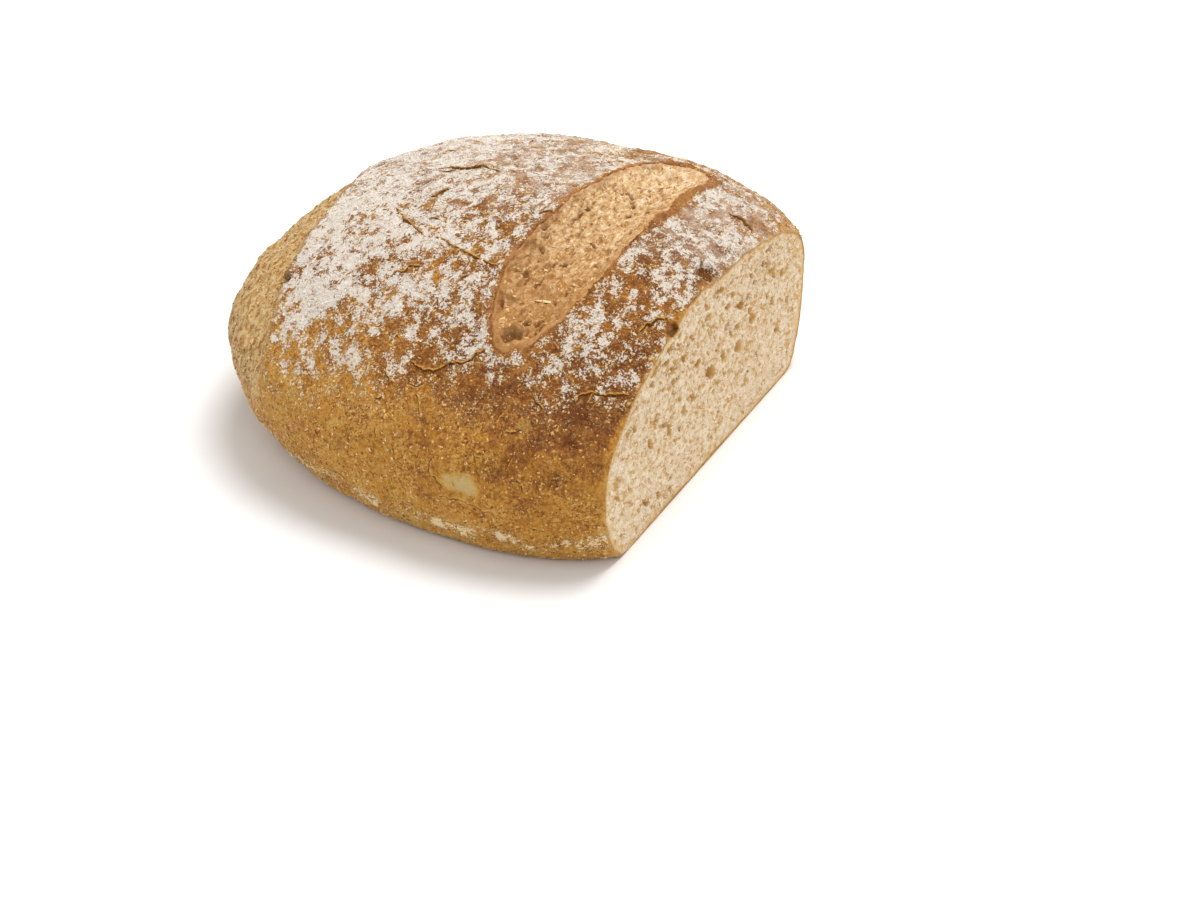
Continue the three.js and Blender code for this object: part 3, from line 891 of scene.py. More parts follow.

# %% [markdown]
# ## Cracks and lifted flakes
#
# As the loaf cooled, its skin cracked, and along each crack one side curled up into a thin flake. A groove in
# the net would be too blurred for that, so each flake is a thin curved strip laid over the crust: it stands
# proud along the crack and sinks into the skin a few millimetres behind it. It takes its flour and browning
# from the crust underneath, so only its pale broken edge and the slot beside that edge, painted dark as
# shade, give it away. The long ones have set courses; short ones are strewn over the wall and the crown.

# %% Courses of the cracks, each with the lifted side to its left
CRACKS = [
    {"course": [(-35, -17, 92), (-24, -28, 92), (-10, -38, 93)], "lift": 1.0},
    {"course": [(-9, -36, 93), (8, -42, 93), (22, -46, 92), (33, -49, 91)], "lift": 0.7},
    {"course": [(-36, 23, 92), (-22, 20, 94), (-15, 25, 95), (-5, 21, 96)], "lift": 1.2},
    {"course": [(-23, -8, 94), (-19, 1, 95)], "lift": 0.8},
    {"course": [(-14, -62, 85), (-3, -55, 88)], "lift": 0.8},
    {"course": [(13, -94, 69), (22, -97, 67), (32, -93, 71), (39, -90, 73), (44, -83, 77)], "lift": 0.9},
    {"course": [(27, -10, 98), (36, -7, 98)], "lift": 1.0},
    {"course": [(87, 48, 85), (94, 48, 83), (101, 45, 80)], "lift": 1.0},
    {"course": [(94, -55, 81), (98, -42, 83), (102, -42, 81)], "lift": 1.2},
    {"course": [(85, -91, 67), (89, -87, 69), (94, -85, 69), (103, -80, 68)], "lift": 1.0},
    {"course": [(17, -119, 42), (22, -121, 37)], "lift": 0.7},
    {"course": [(37, -119, 45), (37, -121, 38), (42, -122, 33)], "lift": 0.6},
    {"course": [(39, -121, 28), (50, -122, 29), (56, -122, 28), (64, -121, 25)], "lift": 0.7},
    {"course": [(63, -110, 56), (70, -107, 59)], "lift": 0.8},
    {"course": [(60, 114, 58), (48, 117, 55), (36, 119, 52)], "lift": 0.5},
    {"course": [(-77, 26, 76), (-74, 10, 78), (-71, -8, 79)], "lift": 1.1},
    {"course": [(-69, -18, 78), (-67, -30, 77), (-64, -44, 76)], "lift": 0.9},
    {"course": [(-60, -67, 70), (-58, -73, 66), (-56, -79, 62)], "lift": 1.0},
]
print(len(CRACKS), "long cracks")

# %% Points along a crack
FLAKE_STEP, FEWEST_POINTS = 0.7, 6
FLAKE_RAG, RAG_SIZE = 0.8, 2.8
FLAKE_FRAY, FRAY_SIZE = 0.45, 1.3
ZIGZAG_SEEDS = (101, 103, 107)
ROUNDING = np.array([1, 2, 3, 2, 1]) / 9


def crack_line(course):
    """Points along a crack, closely spaced, with the small zigzag of a tear."""
    corners = np.array(course, float)
    travelled = np.concatenate([[0], np.cumsum(np.linalg.norm(np.diff(corners, axis=0), axis=-1))])
    count = max(FEWEST_POINTS, int(travelled[-1] / FLAKE_STEP))
    places = np.linspace(0, travelled[-1], count)
    line = np.stack([np.interp(places, travelled, corners[:, axis]) for axis in range(3)], axis=-1)
    padded = np.concatenate([line[:1], line[:1], line, line[-1:], line[-1:]])
    line = np.stack([np.convolve(padded[:, axis], ROUNDING, "valid") for axis in range(3)], axis=-1)
    zigzag = np.stack([FLAKE_RAG * bumps(line, RAG_SIZE, seed) + FLAKE_FRAY * bumps(line, FRAY_SIZE, seed)
                       for seed in ZIGZAG_SEEDS], axis=-1)
    return line + zigzag


print(sum(len(crack_line(crack["course"])) for crack in CRACKS), "points along", len(CRACKS), "cracks")

# %% One flake along one crack
FLAKE_WIDTH, FLAKE_NARROWEST = 5.5, 0.45
FLAKE_ROW = np.linspace(0, 1, 5)
FLAKE_UNDER, FLAKE_SINK, FLAKE_CURL = 0.4, 0.35, 1.6
TAPER_ENDS, TAPER_MEAN, TAPER_SWING, TAPER_SIZE, TAPER_LIMITS = (0.02, 0.98), 0.95, 0.5, 4, (0.3, 1.3)
SLOT_WIDTH, SLOT_ABOVE, SLOT_COLUMNS = 0.9, 0.06, 2
FLAKE_ACROSS = SLOT_COLUMNS + len(FLAKE_ROW)

crust_tree = BVHTree.FromPolygons(crust_points.tolist(), crust_faces)


def on_crust(place):
    spot, normal, face, _ = crust_tree.find_nearest(Vector(place))
    return np.array(spot), np.array(normal), crust_faces[face]


def flake_strip(course, lift, width=FLAKE_WIDTH, slot=SLOT_WIDTH):
    """Upper and lower points of a slot and a flake, row by row, and the crust's face under each."""
    line = crack_line(course)
    taper = np.sqrt(np.sin(math.pi * np.linspace(*TAPER_ENDS, len(line))))
    taper = taper * np.clip(TAPER_MEAN + TAPER_SWING * bumps(line, TAPER_SIZE, seed=109), *TAPER_LIMITS)
    ahead = np.gradient(line, axis=0)
    upper, lower, under = [], [], []
    for place, direction, thin in zip(line, ahead, taper):
        _, normal, _ = on_crust(place)
        left = np.cross(normal, direction)
        left = left / np.linalg.norm(left)
        rise = lift * thin * (1 - FLAKE_ROW) ** FLAKE_CURL - FLAKE_SINK * (1 - thin * (1 - FLAKE_ROW))
        heights = [SLOT_ABOVE, SLOT_ABOVE, *rise]
        narrowed = FLAKE_NARROWEST + (1 - FLAKE_NARROWEST) * thin
        offsets = [-slot * thin, -SLOT_ABOVE, *(FLAKE_ROW * width * narrowed)]
        for offset, height in zip(offsets, heights):
            spot, normal, corners = on_crust(place + left * offset)
            upper.append(spot + normal * height)
            lower.append(spot - normal * (FLAKE_SINK + FLAKE_UNDER))
            under.append(corners)
    return np.array(upper), np.array(lower), under


def strip_faces(rows, across, first):
    """Faces of a closed thin strip whose upper points come first and whose lower points follow them."""
    count = rows * across
    top = np.arange(count).reshape(rows, across) + first
    border = np.concatenate([top[0, :-1], top[:-1, -1], top[-1, :0:-1], top[:0:-1, 0]])
    following = np.roll(border, -1)
    sides = np.stack([following, border, border + count, following + count], axis=-1)
    sheets = [sheet_quads(top), sheet_quads(top + count)[:, ::-1], sides[:, ::-1]]
    return np.concatenate(sheets).tolist()


print("a row of slot and flake has", FLAKE_ACROSS, "points")

# %% Short cracks strewn at random
SHORT_CRACKS = 90
SHORT_LENGTH, SHORT_LIFT, SHORT_BEND = (3.5, 9.0), (0.25, 0.6), 0.5
SHORT_WIDTH, SHORT_SLOT = 3.2, 0.55
CRACK_LOW = 16
CLEAR_OF_OPENINGS, CLEAR_OF_KNIFE = 4, 9


def short_cracks():
    """Short curved courses on the wall and the crown, clear of the score, the seam's band and the knife."""
    allowed = (z > CRACK_LOW) & (x < KNIFE_X - CLEAR_OF_KNIFE)
    allowed = allowed & (inside < -CLEAR_OF_OPENINGS) & (beyond < -CLEAR_OF_OPENINGS)
    cracks = []
    for row, column in draw.choice(np.argwhere(allowed), SHORT_CRACKS):
        ahead, up = draw.normal(0, 1, 3), out[row, column]
        ahead = ahead - up * (ahead @ up)
        ahead = ahead / np.linalg.norm(ahead)
        reach = draw.uniform(*SHORT_LENGTH) / 2
        bend = np.cross(up, ahead) * draw.uniform(-SHORT_BEND, SHORT_BEND) * reach
        middle = skin[row, column]
        course = [middle - reach * ahead, middle + bend, middle + reach * ahead]
        lift = draw.uniform(*SHORT_LIFT)
        cracks.append({"course": course, "lift": lift, "width": SHORT_WIDTH, "slot": SHORT_SLOT})
    return cracks


all_cracks = CRACKS + short_cracks()
print(len(all_cracks), "cracks in all")

# %% All flakes as one piece
BROKEN_EDGE = {"flour": 0.0, "bake": 0.24, "veil": 0.0}
# Painted shade: the slot beside each crack is dark.
SHADED_SLOT = {"flour": 0.0, "bake": 0.7, "veil": 0.0, "dark": 0.9}


def crust_flakes():
    points, faces, under = [], [], []
    for crack in all_cracks:
        upper, lower, corners = flake_strip(**crack)
        faces += strip_faces(len(upper) // FLAKE_ACROSS, FLAKE_ACROSS, sum(map(len, points)))
        points += [upper, lower]
        under += corners + corners
    values = {label: np.array([numbers[list(corners)].mean() for corners in under])
              for label, numbers in crust_values.items()}
    column = np.tile(np.arange(FLAKE_ACROSS), len(under) // FLAKE_ACROSS)
    for there, numbers in ((column == SLOT_COLUMNS, BROKEN_EDGE), (column < SLOT_COLUMNS, SHADED_SLOT)):
        for label, number in numbers.items():
            values[label] = np.where(there, number, values[label])
    points = np.concatenate(points)
    points[:, 0] = np.minimum(points[:, 0], KNIFE_X)
    return make_piece("crust_flakes", points, faces, values, SHARP)


flakes = crust_flakes()

# %% [markdown]
# ## The crumb
#
# The knife opened the gas cells of the dough. A picture of holes would look flat from the side, so the cut is
# a fine net of points that is really sunk where a cell was opened: a foam of small cells all over, more of
# them in the upper half, drawn out along one slant, and a few of several millimetres. To lay a square net on
# a loaf-shaped cut, the square is first rounded into a disc and the disc is then stretched to the crust in
# every direction.

# %% A net over the cut
NET_ACROSS, NET_UP = 420, 186
FULL_TURN = 2 * math.pi

loop_angle = np.mod(edge_angle, FULL_TURN)
loop_order = np.argsort(loop_angle)


def crumb_reach(angle):
    """Distance from the core to the edge of the crumb in a direction of the cut."""
    return np.interp(angle, loop_angle[loop_order], crumb_radius[loop_order], period=FULL_TURN)


across, up = np.meshgrid(np.linspace(-1, 1, NET_ACROSS), np.linspace(-1, 1, NET_UP), indexing="ij")
net_angle = np.arctan2(up, across)
net_share = np.sqrt(across**2 + up**2 - across**2 * up**2)
cut_radius = crumb_reach(net_angle)
cut_y = CORE_Y + net_share * cut_radius * np.cos(net_angle)
cut_z = CORE_Z + net_share * cut_radius * np.sin(net_angle)
from_crust = cut_radius * (1 - net_share)
cut_points = np.stack([np.full_like(cut_y, KNIFE_X), cut_y, cut_z], axis=-1)
print(f"cut {np.ptp(cut_y):.0f} mm wide and {np.ptp(cut_z):.0f} mm high")

# %% Cells of the crumb
LARGE_CELLS = [(36, 45, 3.3), (22, 39, 3.6), (-6, 41, 4.4), (24, 58, 3.0), (68, 52, 2.8), (81, 55, 2.6)]
LARGE_STRETCH = 1.3
CELL_FAMILIES = [(0.4, 0.8, 1500), (0.8, 1.4, 420), (1.4, 2.6, 150)]
CELL_POWER, CELL_CLEAR = 1.6, 0.6
CELL_STRETCH, CELL_TURN, CELL_TURN_SPREAD = (1.1, 1.5), -0.45, 0.4
FEWEST_LOW, UPPER_HALF = 0.5, (18, 60)
CELL_WOBBLE_SIZE = 1.8


def drawn_cells(smallest, largest, count):
    """Cells drawn at random inside the crust, with more of them in the upper half."""
    cells = []
    while len(cells) < count:
        middle = np.array([draw.uniform(cut_y.min(), cut_y.max()), draw.uniform(cut_z.min(), cut_z.max())])
        radius = blend(smallest, largest, draw.uniform() ** CELL_POWER)
        offset = middle - (CORE_Y, CORE_Z)
        room = crumb_reach(math.atan2(offset[1], offset[0]))
        fits = np.hypot(*offset) + radius + CELL_CLEAR < room
        if fits and draw.uniform() < blend(FEWEST_LOW, 1.0, step(middle[1], *UPPER_HALF)):
            stretch = draw.uniform(*CELL_STRETCH)
            cells.append((middle, radius, stretch, draw.normal(CELL_TURN, CELL_TURN_SPREAD)))
    return cells


cells = [(np.array(place), radius, LARGE_STRETCH, CELL_TURN) for *place, radius in LARGE_CELLS]
for family in CELL_FAMILIES:
    cells += drawn_cells(*family)
cut_places = np.stack([cut_y, cut_z], axis=-1).reshape(-1, 2)
cell_wobble = bumps(cut_points, CELL_WOBBLE_SIZE, seed=131)
holes = cell_depths(cut_places, cells, cell_wobble.ravel()).reshape(cut_y.shape)
print(f"{len(cells)} cells, the deepest {holes.max():.1f} mm")

# %% The crumb piece
PLUG_DEPTH = 11.9
CRUMB_LUMPS, CRUMB_LUMP_SIZE, CRUMB_LUMP_TOP = 0.1, 4, 0.9
CRUMB_GRAIN, CRUMB_GRAIN_SIZE = 0.05, 1.0
CELL_DEPTH, SHALLOW_CELL, DEEP_CELL, DEEP_FROM = 1.1, 0.3, 0.9, (0.6, 1.8)
CRUMB_BORDER = 0.9

lumps = CRUMB_LUMPS * (rough(cut_points, CRUMB_LUMP_SIZE, seed=139, layers=2) - CRUMB_LUMP_TOP)
lumps = lumps + CRUMB_GRAIN * (bumps(cut_points, CRUMB_GRAIN_SIZE, seed=141) - 1)
sunk = CELL_DEPTH * holes * blend(SHALLOW_CELL, DEEP_CELL, step(holes, *DEEP_FROM))
cut_points[..., 0] += np.minimum(lumps - sunk, 0) * step(from_crust, 0, CRUMB_BORDER)
crumb_values = {"cell": holes, "edge": from_crust}
crumb = closed_sheet("crumb", cut_points, (KNIFE_X - PLUG_DEPTH, CORE_Y, CORE_Z), crumb_values)

# %% [markdown]
# ## Small lumps on a surface
#
# Flour that got damp on the dough dried into clumps, bran sticks in the crust as small flakes, and the knife
# tore crumbs loose along the far edge and left the crumb full of tufts. All of these are too small for a net
# and too rough for a painted pattern, and all are made the same way: random points are drawn on a surface,
# and on each stands a low, uneven pyramid with its feet a little under the surface.

# %% Draw points on a net
def strewn(net, chance, count):
    """Random points on a net, drawn by area times a chance, the directions out of it and the net's cells."""
    corner, beside, ahead = net[:-1, :-1], net[:-1, 1:], net[1:, :-1]
    out_of = np.cross(beside - corner, ahead - corner)
    area = np.linalg.norm(out_of, axis=-1)
    weight = (area * chance[:-1, :-1]).ravel()
    picked = draw.choice(weight.size, count, p=weight / weight.sum())
    first, second = draw.uniform(0, 1, (2, count, 1))
    corner, beside, ahead, out_of = (part.reshape(-1, 3)[picked] for part in (corner, beside, ahead, out_of))
    up = out_of / np.linalg.norm(out_of, axis=-1, keepdims=True)
    cell = np.unravel_index(picked, area.shape)
    return corner + first * (beside - corner) + second * (ahead - corner), up, cell


def closed_round(layer):
    """A layer of the crust's net with its first ray repeated at the end."""
    return np.concatenate([layer, layer[:, :1]], axis=1)


def drawn_sizes(smallest, largest, power, count):
    """Sizes of lumps; the higher the power, the rarer the large ones."""
    return blend(smallest, largest, draw.uniform(0, 1, count) ** power)


skin_net = closed_round(skin)
print("net to strew on:", skin_net.shape)

# %% Set pyramids on the points
LUMP_ROOT = 0.15
LUMP_SIDES = 4
LUMP_SHARP = math.radians(20)
LUMP_TWIST, LUMP_REACH = 0.3, (0.65, 1.25)


def pyramids(at, up, size, height, stretch):
    """Points and faces of low pyramids, one on each place, longer one way by their stretch."""
    count = len(at)
    ahead = np.cross(up, draw.normal(size=(count, 3)))
    ahead = ahead / np.linalg.norm(ahead, axis=-1, keepdims=True)
    aside = np.cross(up, ahead)
    twist = draw.uniform(-LUMP_TWIST, LUMP_TWIST, (count, LUMP_SIDES))
    turn = (np.arange(LUMP_SIDES) + twist) * 2 * math.pi / LUMP_SIDES
    reach = size[:, None] * draw.uniform(*LUMP_REACH, (count, LUMP_SIDES))
    along = (reach * stretch[:, None] * np.cos(turn))[..., None] * ahead[:, None]
    across = (reach * np.sin(turn))[..., None] * aside[:, None]
    feet = at[:, None] + along + across - LUMP_ROOT * up[:, None]
    peaks = at + up * height[:, None]
    points = np.concatenate([feet, peaks[:, None]], axis=1).reshape(-1, 3)
    first = np.arange(count)[:, None] * (LUMP_SIDES + 1)
    here = first + np.arange(LUMP_SIDES)
    there = first + np.roll(np.arange(LUMP_SIDES), -1)
    sides = np.stack([here, there, np.broadcast_to(first + LUMP_SIDES, here.shape)], axis=-1).reshape(-1, 3)
    return points, sides.tolist() + here[:, ::-1].tolist()


def make_lumps(name, shapes, values):
    """A piece from the points and faces of pyramids, with one value of each kind for a pyramid."""
    spread = {label: np.repeat(numbers, LUMP_SIDES + 1) for label, numbers in values.items()}
    return make_piece(name, *shapes, spread, LUMP_SHARP)


print("a lump has", 2 * LUMP_SIDES - 2, "triangles")

# %% Flour clumps
CLUMP_COUNT = 32000
CLUMP_SMALLEST, CLUMP_LARGEST, CLUMP_POWER = 0.2, 0.85, 2.8
CLUMP_HEIGHT = 0.5
CLUMP_FROM, CLUMP_CROWDING = 0.15, 2
CLUMP_CLEAR = 1.3
BASE_LINE_DAMP = 0.3

clump_chance = np.maximum(flour_mask - CLUMP_FROM, 0) ** CLUMP_CROWDING
clump_at, clump_up, clump_cell = strewn(skin_net, closed_round(clump_chance), CLUMP_COUNT)
clump_at[:, 0] = np.minimum(clump_at[:, 0], KNIFE_X - CLUMP_CLEAR * CLUMP_LARGEST)
clump_size = drawn_sizes(CLUMP_SMALLEST, CLUMP_LARGEST, CLUMP_POWER, CLUMP_COUNT)
clumps = pyramids(clump_at, clump_up, clump_size, CLUMP_HEIGHT * clump_size, np.ones(CLUMP_COUNT))
flour = make_lumps("flour", clumps, {"thick": (cover - BASE_LINE_DAMP * base_line)[clump_cell]})

# %% Bran in the crust and in the score
BRAN_COUNT, SCORE_BRAN_COUNT = 18000, 1300
BRAN_SMALLEST, BRAN_LARGEST, BRAN_POWER = 0.25, 0.75, 2.2
BRAN_LONGEST, CRUST_BRAN_STRETCH = 3.2, 0.3
BRAN_HEIGHT, BRAN_HEIGHT_GAIN = 0.16, 0.2
FLOUR_HIDES, FLOUR_HIDES_MOST = 1.2, 0.85
BRAN_LOW, BRAN_TORN_EDGE = (1, 5), (0.5, 2)
LARGE_BRAN = [((53.5, -54), 1.7, 2.6), ((45, -38), 0.8, 2.2), ((58, 12), 0.8, 2.4), ((55, 52), 0.7, 2.6)]
LARGE_BRAN_LIFT = 0.9


def above_torn(place):
    """The point of the torn floor nearest to a place seen from above, lifted a little."""
    row, column = np.abs(torn_x[:, 0] - place[0]).argmin(), np.abs(torn_y[0] - place[1]).argmin()
    return torn[row, column] + [0, 0, LARGE_BRAN_LIFT]


bare = 1 - np.clip(FLOUR_HIDES * flour_mask, 0, FLOUR_HIDES_MOST)
bare = bare * (1 - bald) * (1 - score_mask) * step(z, *BRAN_LOW)
bran_at, bran_up, bran_cell = strewn(skin_net, closed_round(bare), BRAN_COUNT)
score_chance = step(torn_inside, *BRAN_TORN_EDGE)
score_at, score_up, _ = strewn(torn.swapaxes(0, 1), score_chance.T, SCORE_BRAN_COUNT)
bran_at = np.concatenate([bran_at, score_at, [above_torn(place) for place, _, _ in LARGE_BRAN]])
bran_at[:, 0] = np.minimum(bran_at[:, 0], KNIFE_X - BRAN_LARGEST * BRAN_LONGEST)
bran_up = np.concatenate([bran_up, score_up, np.broadcast_to([0.0, 0.0, 1.0], (len(LARGE_BRAN), 3))])
print(len(bran_at), "flakes of bran")

# %% Size and tone of the bran
DARK_BRAN_SHARE, DARK_BRAN = 0.4, 0.05
BRAN_ON_PALE, BRAN_ON_BROWN, BRAN_TURN = 0.95, 0.5, (0.45, 0.75)

in_crust = slice(0, BRAN_COUNT)
large = slice(-len(LARGE_BRAN), None)
bran_size = drawn_sizes(BRAN_SMALLEST, BRAN_LARGEST, BRAN_POWER, len(bran_at))
bran_stretch = draw.uniform(1, BRAN_LONGEST, len(bran_at))
bran_stretch[in_crust] = 1 + CRUST_BRAN_STRETCH * (bran_stretch[in_crust] - 1)
bran_tone = draw.uniform(0, 1, len(bran_at))
pale_tone = blend(BRAN_ON_PALE, BRAN_ON_BROWN, step(bake[bran_cell], *BRAN_TURN))
bran_tone[in_crust] = np.where(bran_tone[in_crust] < DARK_BRAN_SHARE, DARK_BRAN, pale_tone)
bran_size[large] = [size for _, size, _ in LARGE_BRAN]
bran_stretch[large] = [stretch for _, _, stretch in LARGE_BRAN]
bran_tone[large] = 1
bran_height = BRAN_HEIGHT + BRAN_HEIGHT_GAIN * bran_size
bran_shapes = pyramids(bran_at, bran_up, bran_size, bran_height, bran_stretch)
bran = make_lumps("bran", bran_shapes, {"tone": bran_tone})

# %% Torn crumbs of crust along the far edge of the cut
EDGE_COUNT, EDGE_REACH, EDGE_FULL = 90, 5, 2
EDGE_ALONG, EDGE_UP = (70, 90), (14, 22)
EDGE_SMALLEST, EDGE_LARGEST, EDGE_POWER = 0.6, 2.2, 2
EDGE_HEIGHT, EDGE_LONGEST, EDGE_CLEAR = 0.9, 1.5, 1.9
EDGE_TONES = (0.05, 0.5)

edge_chance = step(x, KNIFE_X - EDGE_REACH, KNIFE_X - EDGE_FULL) * step(y, *EDGE_ALONG) * step(z, *EDGE_UP)
edge_at, edge_up, _ = strewn(skin_net, closed_round(edge_chance), EDGE_COUNT)
edge_size = drawn_sizes(EDGE_SMALLEST, EDGE_LARGEST, EDGE_POWER, EDGE_COUNT)
edge_at[:, 0] = np.minimum(edge_at[:, 0], KNIFE_X - EDGE_CLEAR * edge_size)
edge_stretch = draw.uniform(1, EDGE_LONGEST, EDGE_COUNT)
edge_shapes = pyramids(edge_at, edge_up, edge_size, EDGE_HEIGHT * edge_size, edge_stretch)
edge_crumbs = make_lumps("edge_crumbs", edge_shapes, {"tone": draw.uniform(*EDGE_TONES, EDGE_COUNT)})

# %% Tufts of the crumb
TUFT_COUNT = 24000
TUFT_SMALLEST, TUFT_LARGEST, TUFT_POWER = 0.16, 0.75, 1.8
TUFT_HEIGHT, TUFT_LONGEST = 0.5, 2.6
TUFT_CELL = -1.0
CELL_BARE, CELL_BARE_FROM = 0.85, (0.3, 1.2)
CELL_RIM, CELL_RIM_DEPTH, CELL_RIM_WIDTH = 1.5, 0.35, 0.25
TUFT_BORDER = (0.6, 1.4)
TUFT_PATCH_SIZE, TUFT_PATCHES, TUFT_FEWEST = 5, (-0.6, 0.6), 0.25

between_cells = 1 - CELL_BARE * step(holes, *CELL_BARE_FROM)
between_cells = between_cells + CELL_RIM * bell(holes - CELL_RIM_DEPTH, CELL_RIM_WIDTH)
tuft_patches = step(rough(cut_points, TUFT_PATCH_SIZE, seed=151), *TUFT_PATCHES)
tuft_chance = between_cells * step(from_crust, *TUFT_BORDER) * blend(TUFT_FEWEST, 1.0, tuft_patches)
tuft_at, tuft_up, tuft_cell = strewn(cut_points.swapaxes(0, 1), tuft_chance.T, TUFT_COUNT)
tuft_size = drawn_sizes(TUFT_SMALLEST, TUFT_LARGEST, TUFT_POWER, TUFT_COUNT)
tuft_stretch = draw.uniform(1, TUFT_LONGEST, TUFT_COUNT)
tuft_shapes = pyramids(tuft_at, tuft_up, tuft_size, TUFT_HEIGHT * tuft_size, tuft_stretch)
tuft_values = {"cell": np.full(TUFT_COUNT, TUFT_CELL), "edge": from_crust.T[tuft_cell]}
tufts = make_lumps("crumb_tufts", tuft_shapes, tuft_values)

# %% [markdown]
# ## Materials: helpers
#
# A material is a small network of nodes. Writing each link by hand hides the idea behind the wiring, so one
# helper places a node with its settings and inputs, where an input may be a number or another node's output.
# Further ones do sums, stretch a range of values, make noise and mix or grade colours.

# %% Place a node, do sums with values
def add_node(tree, kind, inputs=None, **settings):
    node = tree.nodes.new(kind)
    for name, value in settings.items():
        setattr(node, name, value)
    for name, value in (inputs or {}).items():
        if isinstance(value, bpy.types.NodeSocket):
            tree.links.new(value, node.inputs[name])
        else:
            node.inputs[name].default_value = value
    return node


def math_node(tree, operation, first, second=0.0, clamp=False):
    sums = add_node(tree, "ShaderNodeMath", {0: first, 1: second}, operation=operation, use_clamp=clamp)
    return sums.outputs[0]


def times(tree, first, second, clamp=False):
    return math_node(tree, "MULTIPLY", first, second, clamp)


def plus(tree, first, second):
    return math_node(tree, "ADD", first, second)


def minus(tree, first, second, clamp=False):
    return math_node(tree, "SUBTRACT", first, second, clamp)


def rescale(tree, value, low, high, to_low=0.0, to_high=1.0):
    """A value moved from one range to another, and held at the ends of that."""
    ends = {"Value": value, "From Min": low, "From Max": high, "To Min": to_low, "To Max": to_high}
    return add_node(tree, "ShaderNodeMapRange", ends).outputs["Result"]


def attribute(tree, name):
    return add_node(tree, "ShaderNodeAttribute", attribute_name=name).outputs["Fac"]


print("helpers for values ready")

# %% Noise and stretched coordinates
NOISE_MIDDLE = 0.5


def noise(tree, coords, size, detail=2.0, roughness=0.55):
    """Random unevenness, its size in millimetres."""
    inputs = {"Vector": coords, "Scale": 1 / (size * MM), "Detail": detail, "Roughness": roughness}
    return add_node(tree, "ShaderNodeTexNoise", inputs).outputs["Fac"]


def centred(tree, value, gain):
    """A noise that swings about its middle, moved to swing about zero and made stronger."""
    return times(tree, minus(tree, value, NOISE_MIDDLE), gain)


def drawn_out(tree, coords, scale):
    """Coordinates in which a pattern comes out longer where the scale is below one."""
    return add_node(tree, "ShaderNodeMapping", {"Vector": coords, "Scale": scale}).outputs["Vector"]


print("helpers for noise ready")

# %% Colours
MIX_FACTOR, MIX_LOW, MIX_HIGH, MIX_RESULT = 0, 6, 7, 2
FULL_PART, DARKEST_PART = 255, 10
SCREEN_SLOPE, SCREEN_OFFSET, SCREEN_POWER = 12.92, 0.055, 2.4


def linear_light(part):
    """One part of a screen colour, from 0 to 255, as the linear light that shaders use."""
    share = part / FULL_PART
    if part <= DARKEST_PART:
        return share / SCREEN_SLOPE
    return ((share + SCREEN_OFFSET) / (1 + SCREEN_OFFSET)) ** SCREEN_POWER


def srgb(red, green, blue):
    return (linear_light(red), linear_light(green), linear_light(blue), 1.0)


def mix(tree, factor, low, high):
    sockets = {MIX_FACTOR: factor, MIX_LOW: low, MIX_HIGH: high}
    return add_node(tree, "ShaderNodeMix", sockets, data_type="RGBA").outputs[MIX_RESULT]


def ramp(tree, factor, stops):
    node = add_node(tree, "ShaderNodeValToRGB", {"Fac": factor})
    steps = node.color_ramp.elements
    while len(steps) < len(stops):
        steps.new(0.5)
    for element, (position, colour) in zip(steps, stops):
        element.position = position
        element.color = colour
    return node.outputs["Color"]


print("helpers for colours ready")

# %% [markdown]
# ## Shared effects: bran specks and grain
#
# Wholemeal shows in crust and crumb alike as brown specks of bran, and both have a fine grain. An effect that
# several materials share is worth a node group: it is built once, and each material sets its own size and
# share.

# %% Group for bran specks
SPECK_WOBBLE_SCALE, SPECK_WOBBLE = 900.0, (0.0011, 0.0011, 0.0011)
SPECK_SIZES, SPECK_CORE = (0.5, 1.4), 0.55


def new_group(name, inputs, outputs):
    group = bpy.data.node_groups.new(name, "ShaderNodeTree")
    for way, sockets in (("INPUT", inputs), ("OUTPUT", outputs)):
        for label, kind in sockets:
            group.interface.new_socket(label, in_out=way, socket_type=kind)
    return group, add_node(group, "NodeGroupInput"), add_node(group, "NodeGroupOutput")


def bran_specks_group():
    """Flecks of bran: one in each cell of a random pattern, kept in a share of the cells."""
    inputs = [("Vector", "NodeSocketVector"), ("Scale", "NodeSocketFloat"),
              ("Share", "NodeSocketFloat"), ("Reach", "NodeSocketFloat")]
    outputs = [("Mask", "NodeSocketFloat"), ("Tone", "NodeSocketFloat")]
    group, start, end = new_group("bran specks", inputs, outputs)
    coords = start.outputs["Vector"]
    wobble = add_node(group, "ShaderNodeTexNoise",
                      {"Vector": coords, "Scale": SPECK_WOBBLE_SCALE, "Detail": 1.0}).outputs["Color"]
    shift = add_node(group, "ShaderNodeVectorMath", {0: wobble, 1: SPECK_WOBBLE}, operation="MULTIPLY")
    moved = add_node(group, "ShaderNodeVectorMath", {0: coords, 1: shift.outputs[0]}, operation="ADD")
    cells = add_node(group, "ShaderNodeTexVoronoi",
                     {"Vector": moved.outputs[0], "Scale": start.outputs["Scale"]})
    tone = add_node(group, "ShaderNodeSeparateColor", {"Color": cells.outputs["Color"]})
    kept = math_node(group, "LESS_THAN", tone.outputs["Red"], start.outputs["Share"])
    size = rescale(group, tone.outputs["Green"], 0, 1, *SPECK_SIZES)
    reach = times(group, start.outputs["Reach"], size)
    near = rescale(group, cells.outputs["Distance"], reach, times(group, reach, SPECK_CORE))
    group.links.new(times(group, near, kept), end.inputs["Mask"])
    group.links.new(tone.outputs["Blue"], end.inputs["Tone"])
    return group


bran_specks = bran_specks_group()


def specks(tree, coords, size, share, reach):
    """Mask and tone of bran specks in cells of a size in millimetres."""
    inputs = {"Vector": coords, "Scale": 1 / (size * MM), "Share": share, "Reach": reach}
    node = add_node(tree, "ShaderNodeGroup", inputs, node_tree=bran_specks)
    return node.outputs["Mask"], node.outputs["Tone"]


